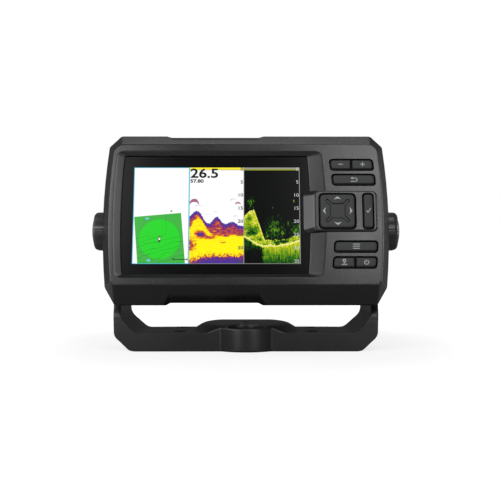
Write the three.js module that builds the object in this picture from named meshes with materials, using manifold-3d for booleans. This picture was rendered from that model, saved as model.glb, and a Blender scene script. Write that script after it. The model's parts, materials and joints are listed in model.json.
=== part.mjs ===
// A five-inch chartplotter with a keypad, standing on a bail bracket.
//
// Millimetres, +Z up. The origin is on the underside of the bracket, below the tilt axis and at the
// middle of the width. The screen faces -Y. The display is drawn in its own frame, whose origin is on
// the tilt axis: u runs to the right, v up the screen and w out of the screen. That frame leans back
// by TILT about X.
import * as THREE from "three";
import { mergeVertices } from "three/addons/utils/BufferGeometryUtils.js";
import Module from "manifold-3d";

const wasm = await Module();
wasm.setup();

// ---- Driving dimensions ----
const TILT = THREE.MathUtils.degToRad(15.25); // lean of the screen at rest
const AXIS_Z = 78; // tilt axis above the mounting surface
const GAP = 0.3; // clearance between neighbouring pieces

// Depths of the display, along w.
const FACE_W = 30; // front rim
const WIDE_W = 15; // widest section, where the front chamfers end
const SPLIT_W = 12; // back of the bezel, where the rear cover's body starts
const BEND_W = -10; // where the rear cover starts to narrow
const BACK_W = -24; // rear wall
const PLATE_W = 27; // back of the bezel's front plate
const POCKET_W = 28.2; // bottom of the pocket that the cover lens sits in
const LENS_W = 27; // front of the cover lens
const LENS_THICKNESS = 1.4;
const PANEL_W = 25.3; // front of the screen panel
const LAYERS = { cellBack: 23.3, lightFront: 23, lightBack: 20, trayFloor: 19.7, trayBack: 18.9 };

// Case outlines: half width, bottom and top edge, and how far each corner is cut.
const FACE = { half: 88.4, bottom: -42.9, top: 51.3, cutTop: [4, 4], cutBottom: [2, 2] };
const WIDE = { half: 94.1, bottom: -52.7, top: 62.3, cutTop: [8, 8], cutBottom: [7.7, 12.6] };
const BODY = { half: 78, bottom: -38.5, top: 48, cutTop: [8, 8], cutBottom: [8, 8] };
const BODY_BACK = { half: 68, bottom: -30, top: 40, cutTop: [8, 8], cutBottom: [8, 8] };
const SIDE_BOW = 450; // radius of the bowed sides
const SIDE_STEPS = 6;
const WALL = 2.6; // of the bezel
const COVER_WALL = 2.5; // of the rear cover
const RECESS = { from: -49, to: 8, lean: 1.77, reach: 8 }; // shallow, in the top and bottom chamfers
const RECESS_TOP = 60.1;
const RECESS_BOTTOM = { w: 23.1, front: -47.4, back: -51.5 };

// Screen.
const SCREEN = { u: -19, v: 4.5, width: 116, height: 73 };
const WINDOW = { left: -80.7, right: 41.7, bottom: -35.5, top: 43.8, corner: 3 };
const WINDOW_SLOPE = 2.7; // the window's sloped edge is this much wider at the front
const LENS_OVERLAP = 2;

// Keypad: openings in the front plate.
const ISLAND = { left: 37.6, ridge: 44, right: 85, bottom: -8.6, top: 19.6, height: 31.4 };
const KEY_HEIGHT = 7.9;
const KEY_RADIUS = 2.6;
const KEY_ROWS = {
  zoom: { from: 54.6, to: 83.1, v: 37.1 },
  back: { from: 55.8, to: 84.1, v: 26.9 },
  menu: { from: 56.4, to: 84.5, v: -17.9 },
  power: { from: 55.4, to: 83.7, v: -28.3 },
};
const DPAD = { u: 58.9, v: 5.3, size: 24, radius: 3.6 };
const SELECT = { from: 75.1, to: 82.4, bottom: -6.7, top: 17.4 };
const KEY_PLAY = 0.5; // gap around a key in its opening
const KEY_STAND = 1.1; // how far a key stands out of the plate
const KEY_FLANGE = { reach: 0.9, front: 26.6, back: 25.6 };
const PAD_FLANGE = { reach: 0.9, front: 26, back: 25 }; // set deeper, so that the pad can tip
const KEYMAT_W = 24;

// Bail bracket.
const BASE = { half: 75.7, height: 12, front: -22.5, back: 22.3 };
const ARM = { foot: 86.1, top: 88.6, innerFoot: 81.7, innerTop: 84.7, corner: 10, tip: 11.4 };
const ARM_TAPER = [3.2, 4.2]; // how much thicker the arm and its corner are at the back
const PIVOT = { inner: 83.4, outer: 88.6, slot: 6 };
const BULGE = { y: -3.1, radius: 25.4 };
const BOSS = { y: 3, foot: 36, top: 26.5, height: 17 };
const WELL = { y: -29, radius: 15.2, floor: 4, wall: 1.6 };
const MOUNT_HOLES = { x: 43.8, y: [-8.5, 16.5], radius: 2.7, sink: 4.7 };

// Knobs and the stack at each end of the tilt axis, as distances along X.
const KNOB = { inner: 90.2, outer: 102.8, radius: 13.3, edge: 3.5, ribs: 6 };
const STUD = { radius: 3, from: 73, to: 98 };
const KNOB_WASHER = { from: 88.9, to: 89.9, radius: 9 };
const FRICTION_WASHER = { from: 81.9, to: 83.1, radius: 11, hub: 5.7, tongueHeight: 7 };
const INSERT = { from: 70, to: 81.3, radius: 5 };
const CASE_BOSS = { to: 81.6, radius: 11.6 };
const COVER_SCREW = { pilot: 1.5, clearance: 1.8, counterbore: 3.2, boss: 3.2, headW: 11.8 };

// Sockets in the rear wall.
const SOCKETS = { power: { u: 24, pins: 4 }, transducer: { u: -24, pins: 8 } };
const SOCKET = { v: -12, barrel: 8, bore: 6.2, flange: 11, mouth: -34, inner: -12 };

// ---- Materials ----
const plastic = (color, roughness = 0.55) =>
  new THREE.MeshStandardMaterial({ color, roughness, metalness: 0 });
const metal = (color, roughness = 0.35) =>
  new THREE.MeshStandardMaterial({ color, roughness, metalness: 1 });
const casePlastic = plastic("#3a3b3d");
const bracketPlastic = plastic("#2b2c2d");
const keyRubber = plastic("#343537", 0.7);
const sealRubber = plastic("#1d1e1f", 0.8);
const lensGlass = plastic("#0b0d0e", 0.08);
const boardGreen = plastic("#1f5a3a", 0.5);
const ribbonAmber = plastic("#b0762a", 0.5);
const steel = metal("#c4c7c9");
const brass = metal("#b79a52");
const aluminium = metal("#a9adb0", 0.45);

// ---- Solids ----
// Every solid is made of closed triangle meshes whose shared vertices are merged.
function solidOf(geometry) {
  const bare = geometry.clone();
  bare.deleteAttribute("normal");
  bare.deleteAttribute("uv");
  const merged = mergeVertices(bare, 1e-4);
  const vertProperties = new Float32Array(merged.attributes.position.array);
  const triVerts = new Uint32Array(merged.index.array);
  return new wasm.Manifold(new wasm.Mesh({ numProp: 3, vertProperties, triVerts }));
}

const join = (...solids) => solids.reduce((whole, next) => whole.add(next));
const cut = (whole, ...tools) => tools.reduce((left, tool) => left.subtract(tool), whole);

// Where a point of an outline lies: drawn on the screen's plane, or along X or Z.
const onScreen = ([u, v], w) => [u, -w, v];
const alongX = ([y, z], x) => [x, y, z];
const alongZ = ([x, y], z) => [x, y, z];

// A solid between outlines at several depths. Outlines are counter-clockwise lists of points, all of
// one length, and the first one has the largest depth.
function loft(layers, place = onScreen) {
  const count = layers[0].outline.length;
  const corners = layers.flatMap(({ outline, w }) => outline.map((point) => place(point, w)));
  const index = [];
  for (let layer = 0; layer + 1 < layers.length; layer += 1) {
    for (let i = 0; i < count; i += 1) {
      const near = layer * count + i;
      const nearNext = layer * count + ((i + 1) % count);
      index.push(near, nearNext + count, nearNext, near, near + count, nearNext + count);
    }
  }
  for (const [end, flip] of [[0, false], [layers.length - 1, true]]) {
    const contour = layers[end].outline.map(([u, v]) => new THREE.Vector2(u, v));
    for (const face of THREE.ShapeUtils.triangulateShape(contour, [])) {
      const turned = flip ? [face[2], face[1], face[0]] : face;
      index.push(...turned.map((i) => end * count + i));
    }
  }
  const geometry = new THREE.BufferGeometry();
  geometry.setAttribute("position", new THREE.Float32BufferAttribute(corners.flat(), 3));
  geometry.setIndex(index);
  return solidOf(geometry);
}

const prism = (outline, back, front, place) =>
  loft([{ outline, w: front }, { outline, w: back }], place);

// A ring between an outline and the same outline moved inwards.
function frame(outline, width, back, front) {
  return cut(prism(outline, back, front), prism(inset(outline, width), back - 1, front + 1));
}

// A round rod along w.
function rod(u, v, radius, back, front, sides = 16) {
  return prism(circle(u, v, radius, sides), back, front);
}

// A round rod along X, between two places in either order, about an axis at height z.
function axle(radius, from, to, sides = 24, z = 0) {
  return prism(circle(0, z, radius, sides), Math.min(from, to), Math.max(from, to), alongX);
}

// A turned piece about the X axis, from a profile of [radius, distance] that starts and ends on the
// axis. It points towards +X or, where side is -1, towards -X.
function turned(profile, side, sides = 30) {
  const geometry = new THREE.LatheGeometry(profile.map(([r, x]) => new THREE.Vector2(r, x)), sides);
  geometry.rotateZ((-side * Math.PI) / 2);
  return solidOf(geometry);
}

// ---- Outlines ----
function rectangle(left, right, bottom, top) {
  return [[left, bottom], [right, bottom], [right, top], [left, top]];
}

function roundedRectangle(left, right, bottom, top, radius, steps = 3) {
  const centres = [
    [right - radius, bottom + radius, -Math.PI / 2],
    [right - radius, top - radius, 0],
    [left + radius, top - radius, Math.PI / 2],
    [left + radius, bottom + radius, Math.PI],
  ];
  return centres.flatMap(([u, v, start]) => arc(u, v, radius, start, start + Math.PI / 2, steps));
}

function arc(u, v, radius, start, end, steps) {
  return Array.from({ length: steps + 1 }, (_, i) => {
    const angle = start + ((end - start) * i) / steps;
    return [u + radius * Math.cos(angle), v + radius * Math.sin(angle)];
  });
}

const circle = (u, v, radius, sides) => arc(u, v, radius, 0, 2 * Math.PI, sides).slice(0, sides);

// An outline with every edge moved inwards by a distance, or outwards where it is negative.
function inset(outline, distance) {
  const inward = ([u0, v0], [u1, v1]) => {
    const length = Math.hypot(u1 - u0, v1 - v0);
    return [-(v1 - v0) / length, (u1 - u0) / length];
  };
  return outline.map((point, i) => {
    const a = inward(outline.at(i - 1), point);
    const b = inward(point, outline[(i + 1) % outline.length]);
    const scale = distance / (1 + a[0] * b[0] + a[1] * b[1]);
    return [point[0] + scale * (a[0] + b[0]), point[1] + scale * (a[1] + b[1])];
  });
}

// The case at one depth: straight top and bottom, bowed sides and cut corners.
function caseOutline({ half, bottom, top, cutTop, cutBottom }) {
  const middle = (bottom + top) / 2;
  const low = bottom + cutBottom[1];
  const high = top - cutTop[1];
  const sideAt = (v) => half - (v - middle) ** 2 / (2 * SIDE_BOW);
  const right = [[sideAt(low) - cutBottom[0], bottom]];
  for (let i = 0; i <= SIDE_STEPS; i += 1) {
    const v = low + ((high - low) * i) / SIDE_STEPS;
    right.push([sideAt(v), v]);
  }
  right.push([sideAt(high) - cutTop[0], top]);
  return [...right, ...right.map(([u, v]) => [-u, v]).reverse()];
}

// The window, with sides that bow out a little.
function windowOutline() {
  const { left, right, bottom, top, corner } = WINDOW;
  const middle = (bottom + top) / 2;
  const bow = (v) => (v - middle) ** 2 / (2 * SIDE_BOW) / 2;
  const corners = roundedRectangle(left, right, bottom, top, corner, 3);
  const sideSteps = [0.25, 0.5, 0.75];
  const rightSide = sideSteps.map((t) => [right, bottom + corner + t * (top - bottom - 2 * corner)]);
  const leftSide = rightSide.map(([, v]) => [left, v]).reverse();
  const all = [...corners.slice(0, 4), ...rightSide, ...corners.slice(4, 12), ...leftSide,
    ...corners.slice(12)];
  return all.map(([u, v]) => [u > 0 ? u - bow(v) : u + bow(v), v]);
}

const keyOutline = ({ from, to, v }) =>
  roundedRectangle(from, to, v - KEY_HEIGHT / 2, v + KEY_HEIGHT / 2, KEY_RADIUS);
const dpadOutline = () => {
  const { u, v, size, radius } = DPAD;
  return roundedRectangle(u - size / 2, u + size / 2, v - size / 2, v + size / 2, radius);
};
const selectOutline = () =>
  roundedRectangle(SELECT.from, SELECT.to, SELECT.bottom, SELECT.top, 2.2);

// ---- Housing ----
const wideOutline = caseOutline(WIDE);
const faceOutline = caseOutline(FACE);
const coverFlange = inset(wideOutline, WALL + GAP);
const lensOutline = inset(windowOutline(), -LENS_OVERLAP);
const coverScrews = [-60, 0, 60].flatMap((u) => [[u, 52.2], [u, -42.8]]);

// The tool that cuts the shallow recess in the middle of the top or the bottom chamfer.
function recessTool(vFront, vBack, front, up) {
  const { from, to, lean, reach } = RECESS;
  const side = (v) => {
    const wide = [from - lean * reach, to + lean * reach];
    const far = v + up * reach;
    return up > 0
      ? [[from, v], [to, v], [wide[1], far], [wide[0], far]]
      : [[wide[0], far], [wide[1], far], [to, v], [from, v]];
  };
  return loft([{ outline: side(vFront), w: front }, { outline: side(vBack), w: SPLIT_W - 1 }]);
}

function island() {
  const { left, ridge, right, bottom, top, height } = ISLAND;
  return loft([
    { outline: roundedRectangle(ridge, right - 0.8, bottom + 1.2, top - 1, 3.4), w: height },
    { outline: roundedRectangle(left, right, bottom, top, 4), w: LENS_W + 0.5 },
  ]);
}

// The knobs reach forward of the case's back rim, which is cut away round them.
const knobReliefs = () =>
  [-1, 1].map((side) => axle(KNOB.radius + 1.1, side * (KNOB.inner - 0.7), side * 100));

function frontBezel() {
  const shell = cut(
    loft([
      { outline: faceOutline, w: FACE_W },
      { outline: wideOutline, w: WIDE_W },
      { outline: wideOutline, w: SPLIT_W },
    ]),
    loft([
      { outline: inset(faceOutline, 2), w: PLATE_W },
      { outline: inset(wideOutline, WALL), w: WIDE_W },
      { outline: inset(wideOutline, WALL), w: SPLIT_W - 1 },
    ]),
  );
  const sealLand = frame(inset(wideOutline, 3), 3.5, 16.3, 18.3);
  const lensRib = frame(inset(lensOutline, -GAP - 1.2), 1.2, PANEL_W, PLATE_W + 0.5);
  const bosses = coverScrews.map(([u, v]) => rod(u, v, COVER_SCREW.boss, 16.3, 23, 12));
  const slopeDepth = FACE_W - POCKET_W;
  const opened = cut(
    join(shell, sealLand, lensRib, ...bosses),
    prism(inset(lensOutline, -GAP), PANEL_W - 1, POCKET_W),
    prism(windowOutline(), PLATE_W, FACE_W),
    loft([
      { outline: inset(windowOutline(), -WINDOW_SLOPE * (1 + 1 / slopeDepth)), w: FACE_W + 1 },
      { outline: windowOutline(), w: POCKET_W },
    ]),
    recessTool(RECESS_TOP, RECESS_TOP, FACE_W + 1, 1),
    recessTool(RECESS_BOTTOM.front, RECESS_BOTTOM.back, RECESS_BOTTOM.w, -1),
  );
  const keyOpenings = [...Object.values(KEY_ROWS).map(keyOutline), dpadOutline(), selectOutline()];
  return cut(
    join(opened, cut(island(), prism(inset(lensOutline, -GAP), PLATE_W - 1, POCKET_W))),
    ...keyOpenings.map((outline) => prism(outline, PLATE_W - 2, ISLAND.height + 1)),
    ...coverScrews.map(([u, v]) => rod(u, v, COVER_SCREW.pilot, 15, 21.5, 8)),
    ...knobReliefs(),
  );
}

function rearCover() {
  const bodyOutline = caseOutline(BODY);
  const outer = join(
    prism(coverFlange, SPLIT_W, SPLIT_W + COVER_WALL),
    loft([
      { outline: bodyOutline, w: SPLIT_W + 1 },
      { outline: bodyOutline, w: BEND_W },
      { outline: caseOutline(BODY_BACK), w: BACK_W },
    ]),
    axle(CASE_BOSS.radius, -CASE_BOSS.to, CASE_BOSS.to),
  );
  const hollow = loft([
    { outline: inset(bodyOutline, COVER_WALL), w: SPLIT_W + 3 },
    { outline: inset(bodyOutline, COVER_WALL), w: BEND_W + 1 },
    { outline: inset(caseOutline(BODY_BACK), COVER_WALL), w: BACK_W + COVER_WALL },
  ]);
  const inserts = [-1, 1].map((side) => axle(INSERT.radius + 2.2, side * 68, side * 78));
  const posts = boardScrews.map(([u, v]) => rod(u, v, 3.5, BACK_W + 2, BOARD.back - GAP, 10));
  const sockets = Object.values(SOCKETS).map(({ u }) => rod(u, SOCKET.v, SOCKET.barrel + GAP, -30, -15));
  return cut(
    join(cut(outer, hollow), ...inserts, ...posts),
    ...[-1, 1].map((side) => axle(INSERT.radius + GAP, side * (INSERT.from - GAP), side * 90)),
    ...coverScrews.map(([u, v]) => rod(u, v, COVER_SCREW.clearance, 11, 16, 8)),
    ...coverScrews.map(([u, v]) => rod(u, v, COVER_SCREW.counterbore, 11, 13.7, 12)),
    ...boardScrews.map(([u, v]) => rod(u, v, 1.5, -4, 8, 8)),
    ...sockets,
    ...knobReliefs(),
    rod(VENT.u, VENT.v, VENT.radius + GAP, -30, -15, 16),
  );
}

const housingSeal = () => frame(inset(wideOutline, 3.8), 2, SPLIT_W + 2.8, 16);

// A screw along w: a pan head, then a shank into the plastic. The head is at the end named by headW.
function screw(u, v, headW, direction, length) {
  const neck = headW + direction * 1.6;
  const tip = neck + direction * length;
  const span = (a, b) => [Math.min(a, b), Math.max(a, b)];
  const head = rod(u, v, 2.7, ...span(headW, neck), 12);
  const shank = rod(u, v, 1.2, ...span(neck - direction * 0.2, tip), 8);
  const slotDepth = span(headW - direction, headW + direction * 0.7);
  const slot = prism(rectangle(u - 2, u + 2, v - 0.35, v + 0.35), ...slotDepth);
  return cut(join(head, shank), slot);
}

// ---- Screen ----
function screenRectangle(grow) {
  const { u, v, width, height } = SCREEN;
  return rectangle(u - width / 2 - grow, u + width / 2 + grow, v - height / 2 - grow,
    v + height / 2 + grow);
}

const coverLens = () => prism(lensOutline, LENS_W - LENS_THICKNESS, LENS_W);
const lensSeal = () => frame(lensOutline, LENS_OVERLAP - GAP, LENS_W + GAP, POCKET_W - GAP);
const lcdCell = () => prism(screenRectangle(0), LAYERS.cellBack, PANEL_W);
const lcdBacklight = () => prism(screenRectangle(0), LAYERS.lightBack, LAYERS.lightFront);
function lcdFrame() {
  const tray = cut(
    prism(screenRectangle(1.5), LAYERS.trayBack, PANEL_W),
    prism(screenRectangle(GAP), LAYERS.trayFloor, PANEL_W + 1),
  );
  const tailSlot = prism(rectangle(-34, -4, -40, -31), 18, 22);
  return cut(tray, tailSlot);
}

// ---- Keypad ----
// A key: a cap that stands out of its opening and a flange behind the plate that keeps it in.
function keyCap(outline, top, flange = KEY_FLANGE) {
  const cap = inset(outline, KEY_PLAY);
  const { reach, front, back } = flange;
  return join(
    loft([{ outline: inset(cap, 0.5), w: top }, { outline: cap, w: top - 0.6 }, { outline: cap, w: back }]),
    prism(inset(outline, -reach), back, front),
  );
}

const SPLITS = { zoom: 68.6, power: 69.7 };

// Half of a row that two keys share, split at u.
function halfKey(row, split, side) {
  const whole = keyCap(keyOutline(row), FACE_W + KEY_STAND);
  const away = side > 0 ? [row.from - 5, split + GAP] : [split - GAP, row.to + 5];
  return cut(whole, prism(rectangle(...away, row.v - 10, row.v + 10), 20, 40));
}

// The direction pad: a square cap with a sunken saltire, rocking on the pivot behind it.
function directionPad() {
  const cap = keyCap(dpadOutline(), ISLAND.height + KEY_STAND, PAD_FLANGE);
  const arm = (angle) => {
    const turn = ([x, y]) => [
      DPAD.u + x * Math.cos(angle) - y * Math.sin(angle),
      DPAD.v + x * Math.sin(angle) + y * Math.cos(angle),
    ];
    return prism(roundedRectangle(-10, 10, -1.4, 1.4, 1.3).map(turn), ISLAND.height + 0.5, 40);
  };
  const saltire = join(arm(Math.PI / 4), arm(-Math.PI / 4));
  const { u, v } = DPAD;
  const centre = prism(rectangle(u - 4.6, u + 4.6, v - 4.6, v + 4.6), ISLAND.height + 0.5, 40);
  const cup = rod(DPAD.u, DPAD.v, 4 + GAP, 20, KEY_FLANGE.front + 2);
  return cut(cap, saltire, centre, cup);
}

// A cross of soft rubber under the direction pad, which tips one way and lets the pad tip the other.
function padPivot() {
  const stem = rod(DPAD.u, DPAD.v, 4, KEY_FLANGE.back + GAP, KEY_FLANGE.front + 1.2);
  const bar = prism(rectangle(DPAD.u - 3.6, DPAD.u + 3.6, DPAD.v - 1.6, DPAD.v + 1.6),
    KEYMAT_W + GAP, KEYMAT_W + 0.9);
  const neck = rod(DPAD.u, DPAD.v, 3, KEYMAT_W + GAP, KEY_FLANGE.front);
  return join(stem, bar, neck);
}

const KEYPAD = { left: 47, right: 85, bottom: -35, top: 43 };
const keyCentres = [[61.5, 37.1], [76.2, 37.1], [70, 26.9], [70.5, -17.9], [62.6, -28.3],
  [76.4, -28.3], [78.8, 5.3], [49.9, 5.3], [67.9, 5.3], [58.9, 14.3], [58.9, -3.7]];

function keymat() {
  const { left, right, bottom, top } = KEYPAD;
  const sheet = prism(roundedRectangle(left, right, bottom, top, 3), KEYMAT_W - 1, KEYMAT_W);
  return join(sheet, ...keyCentres.map(([u, v]) => rod(u, v, 1.6, 20.3, KEYMAT_W - 0.5, 8)));
}

function keypadBoard() {
  const { left, right, bottom, top } = KEYPAD;
  return prism(roundedRectangle(left, right, bottom, top, 2), 17.5, 18.9);
}

function domeSheet() {
  const { left, right, bottom, top } = KEYPAD;
  const sheet = prism(inset(roundedRectangle(left, right, bottom, top, 2), 1), 19.2, 19.5);
  return join(sheet, ...keyCentres.map(([u, v]) => rod(u, v, 2.6, 19.3, 19.9, 8)));
}

// ---- Electronics ----
const BOARD = { left: -68, right: 68, bottom: -30, top: 40, back: 3, front: 4.6 };
const boardScrews = [[-58, -22], [58, -22], [-58, 32], [58, 32]];
const VENT = { u: 0, v: 26, radius: 4 };

function mainBoard() {
  const { left, right, bottom, top, back, front } = BOARD;
  const notches = [-1, 1].map((side) => axle(7.6, side * 66.5, side * 80));
  return cut(
    prism(rectangle(left, right, bottom, top), back, front),
    ...boardScrews.map(([u, v]) => rod(u, v, 1.8, 0, 8, 12)),
    ...notches,
  );
}

const heatSpreader = () => prism(rectangle(-70, 30, -27, 36), 16.8, 18.3);
function shieldCan() {
  const can = prism(rectangle(-34, 6, -20, 12), -2.4, BOARD.back - GAP);
  return cut(can, prism(rectangle(-33, 5, -19, 11), -1.4, 10));
}
const gpsAntenna = () => prism(roundedRectangle(28, 53, 10, 35, 1.5), -1.6, BOARD.back - GAP);
const beeper = () => cut(rod(44, -20, 6, -3, BOARD.back - GAP), rod(44, -20, 1.2, -5, -1.5, 12));
function sonarTransformer() {
  const core = prism(rectangle(-60, -42, -14, 4), -10, BOARD.back - GAP);
  const coil = prism(roundedRectangle(-64, -38, -10, 0, 3), -8, 0);
  return join(core, coil);
}
const supplyCapacitor = () => rod(18, 24, 5, -13, BOARD.back - GAP);

// A flat ribbon in straight runs, each given as its extent along v and along w.
function ribbon(left, right, runs) {
  return join(...runs.map(([v0, v1, w0, w1]) => prism(rectangle(left, right, v0, v1), w0, w1)));
}
const lcdRibbon = () => ribbon(-30, -8, [
  [-33.6, -33.2, 5, 21.4],
  [-33.6, -27, 4.9, 5.3],
  [-33.6, -32.6, 21.1, 21.5],
]);
const keypadRibbon = () => ribbon(50, 62, [
  [-33, -32.6, 5, 17.1],
  [-33, -27, 4.9, 5.3],
  [-33, -29, 16.8, 17.2],
]);

const ventPlug = () => join(
  rod(VENT.u, VENT.v, VENT.radius, BACK_W - 0.8, BACK_W + 2, 20),
  rod(VENT.u, VENT.v, 2.6, BACK_W - 1.6, BACK_W, 16),
);

function socketBody({ u }) {
  const { v, barrel, bore, flange, mouth, inner } = SOCKET;
  const body = join(
    rod(u, v, barrel, mouth, inner),
    rod(u, v, flange, BACK_W + COVER_WALL + GAP, BACK_W + 5),
  );
  const keyway = prism(rectangle(u - 1.2, u + 1.2, v + bore - 1, v + bore + 1), mouth - 1, -26);
  return cut(body, rod(u, v, bore, mouth - 1, inner + 1), keyway);
}

function socketPins({ u, pins }) {
  const { v, bore, inner } = SOCKET;
  const wafer = rod(u, v, bore - GAP, -25.5, inner - 0.5);
  const ring = Array.from({ length: pins }, (_, i) => (2 * Math.PI * (i + 0.5)) / pins);
  const made = ring.map((angle) =>
    rod(u + 3.4 * Math.cos(angle), v + 3.4 * Math.sin(angle), 0.7, -29, -25, 8));
  return join(wafer, ...made);
}

function socketNut({ u }) {
  const { v, barrel } = SOCKET;
  return cut(
    rod(u, v, barrel + 3.6, BACK_W - 3.2, BACK_W - GAP, 6),
    rod(u, v, barrel + GAP, BACK_W - 5, BACK_W + 2),
  );
}

// ---- Tilt hardware ----
const threadedInsert = (side) => cut(
  axle(INSERT.radius, side * INSERT.from, side * INSERT.to, 6),
  axle(STUD.radius + GAP, side * (INSERT.from - 1), side * (INSERT.to + 1)),
);

const knobStud = (side) => join(
  axle(STUD.radius, side * STUD.from, side * STUD.to),
  axle(5, side * (KNOB.inner + 2), side * (KNOB.inner + 4), 6),
);

const knobWasher = (side) => cut(
  axle(KNOB_WASHER.radius, side * KNOB_WASHER.from, side * KNOB_WASHER.to),
  axle(STUD.radius + GAP, side * 80, side * 100),
);

// The washer between the case and an arm. Its hub is keyed in the arm's slot, so it never turns.
function frictionWasher(side) {
  const { from, to, radius, hub, tongueHeight } = FRICTION_WASHER;
  const ends = [side * (to - 0.5), side * (PIVOT.outer - GAP)];
  const tongue = prism(rectangle(-hub, hub, 0, tongueHeight), Math.min(...ends), Math.max(...ends), alongX);
  return cut(
    join(axle(radius, side * from, side * to), axle(hub, ...ends), tongue),
    axle(STUD.radius + GAP, side * 80, side * 90),
  );
}

// A knob with a rounded edge, a hexagonal pocket for its stud's head, and ribs round its rim.
function knob(side) {
  const { inner, outer, radius, edge, ribs } = KNOB;
  const start = outer - edge;
  const rounding = arc(radius - edge, start, edge, 0, Math.PI / 2, 5);
  const profile = [[0, inner], [radius - 1, inner], [radius, inner + 1], ...rounding, [0, outer]];
  const away = radius + 2.9;
  const ends = [side * (inner - 1), side * (outer + 1)].sort((a, b) => a - b);
  const scallops = Array.from({ length: ribs }, (_, i) => {
    const angle = (2 * Math.PI * (i + 0.5)) / ribs;
    return prism(circle(away * Math.cos(angle), away * Math.sin(angle), 4, 10), ...ends, alongX);
  });
  return cut(
    turned(profile, side),
    ...scallops,
    axle(STUD.radius + GAP, side * (inner - 1), side * (STUD.to + GAP)),
    axle(5 + GAP * 1.2, side * (inner + 2 - GAP), side * (inner + 4 + GAP), 6),
  );
}

// ---- Bracket ----
// The front view at one depth; the arm and its corner get thicker by the taper towards the back.
function bailOutline(taperArm, taperCorner) {
  const tip = AXIS_Z + ARM.tip;
  const right = [
    [BASE.half, 0],
    [ARM.foot, ARM.corner],
    [ARM.top, tip],
    [ARM.innerTop - taperArm, tip],
    [ARM.innerFoot - taperArm, BASE.height + 10.4],
    [ARM.innerFoot - 10.3 - taperCorner, BASE.height],
  ];
  return [...right, ...right.map(([u, v]) => [-u, v]).reverse()];
}

// The side view: a deep foot that sweeps in to a narrow arm with a round tip.
function sideOutline() {
  const { front, back } = BASE;
  const tipArc = arc(0, AXIS_Z, ARM.tip, 0, Math.PI, 12);
  return [
    [front, -1], [back, -1], [back, 24], [19, 31], [13.5, 52], ...tipArc,
    [-13.5, 52], [-17.6, 30], [front, 23],
  ];
}

// The plan: a straight front with a round bulge, and a back that runs forward towards the arms.
function planOutline() {
  const half = Math.sqrt(BULGE.radius ** 2 - (BASE.front - BULGE.y) ** 2);
  const start = Math.atan2(BASE.front - BULGE.y, -half);
  const bulge = arc(0, BULGE.y, BULGE.radius, start, -Math.PI - start, 14);
  return [
    [-95, BASE.front], ...bulge, [95, BASE.front], [95, 16.5], [66, 21], [44, BASE.back],
    [-44, BASE.back], [-66, 21], [-95, 16.5],
  ];
}

function bailBracket() {
  const plan = prism(planOutline(), -1, 100, alongZ);
  const side = prism(sideOutline(), -100, 100, alongX);
  const front = loft([
    { outline: bailOutline(0, 0), w: -BASE.front + 8 },
    { outline: bailOutline(0, 0), w: -BASE.front },
    { outline: bailOutline(...ARM_TAPER), w: -BASE.back },
  ]);
  const bulge = prism(circle(0, BULGE.y, BULGE.radius, 48), -1, 30, alongZ);
  const bail = front.intersect(plan).intersect(join(side, bulge));
  const boss = loft([
    { outline: circle(0, BOSS.y, BOSS.top, 48), w: BOSS.height },
    { outline: circle(0, BOSS.y, BOSS.foot, 48), w: BASE.height },
    { outline: circle(0, BOSS.y, BOSS.foot, 48), w: BASE.height - 1 },
  ], alongZ).intersect(plan);
  const pads = [-1, 1].map((end) => axle(ARM.tip, end * PIVOT.inner, end * PIVOT.outer, 32, AXIS_Z));
  const well = prism(circle(0, WELL.y, WELL.radius, 40), WELL.floor, 40, alongZ)
    .intersect(prism(inset(planOutline(), WELL.wall), 0, 50, alongZ));
  const holes = [-1, 1].flatMap((end) => MOUNT_HOLES.y.map((y) => mountHole(end * MOUNT_HOLES.x, y)));
  return cut(
    join(bail, boss, ...pads),
    well,
    ...holes,
    ...[-1, 1].map((end) => armSlot(end)),
    ...[-1, 1].map((end) => axle(ARM.tip + 1, end * 70, end * PIVOT.inner, 32, AXIS_Z)),
    prism(circle(0, BOSS.y, 3, 24), 6, 30, alongZ),
  );
}

// A through hole with a countersink at the top.
function mountHole(x, y) {
  const { radius, sink } = MOUNT_HOLES;
  const top = BASE.height;
  return join(
    prism(circle(x, y, radius, 20), -1, top + 1, alongZ),
    loft([
      { outline: circle(x, y, sink, 20), w: top + 0.01 },
      { outline: circle(x, y, radius, 20), w: top - 2.4 },
    ], alongZ),
  );
}

// The slot that a knob's stud drops into, open at the arm's tip.
function armSlot(end) {
  const { slot, inner, outer } = PIVOT;
  const bottom = arc(0, AXIS_Z, slot, Math.PI, 2 * Math.PI, 10);
  const outline = [...bottom, [slot, AXIS_Z + 30], [-slot, AXIS_Z + 30]];
  const [from, to] = [end * (inner - 8), end * (outer + 8)].sort((a, b) => a - b);
  return prism(outline, from, to, alongX);
}

// ---- Assembly ----
function mesh(name, solid, material) {
  const { vertProperties, triVerts } = solid.getMesh();
  const indexed = new THREE.BufferGeometry();
  indexed.setAttribute("position", new THREE.BufferAttribute(vertProperties, 3));
  indexed.setIndex(new THREE.BufferAttribute(triVerts, 1));
  const geometry = indexed.toNonIndexed();
  geometry.computeVertexNormals();
  const made = new THREE.Mesh(geometry, material);
  made.name = name;
  return made;
}

const sides = { left: -1, right: 1 };

const bracket = new THREE.Group();
bracket.add(mesh("bail_bracket", bailBracket(), bracketPlastic));

// The friction washers sit in the arms' upright slots, whatever the tilt.
const carrier = new THREE.Group();
carrier.position.z = AXIS_Z;
for (const [word, side] of Object.entries(sides))
  carrier.add(mesh(`friction_washer_${word}`, frictionWasher(side), sealRubber));

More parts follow.
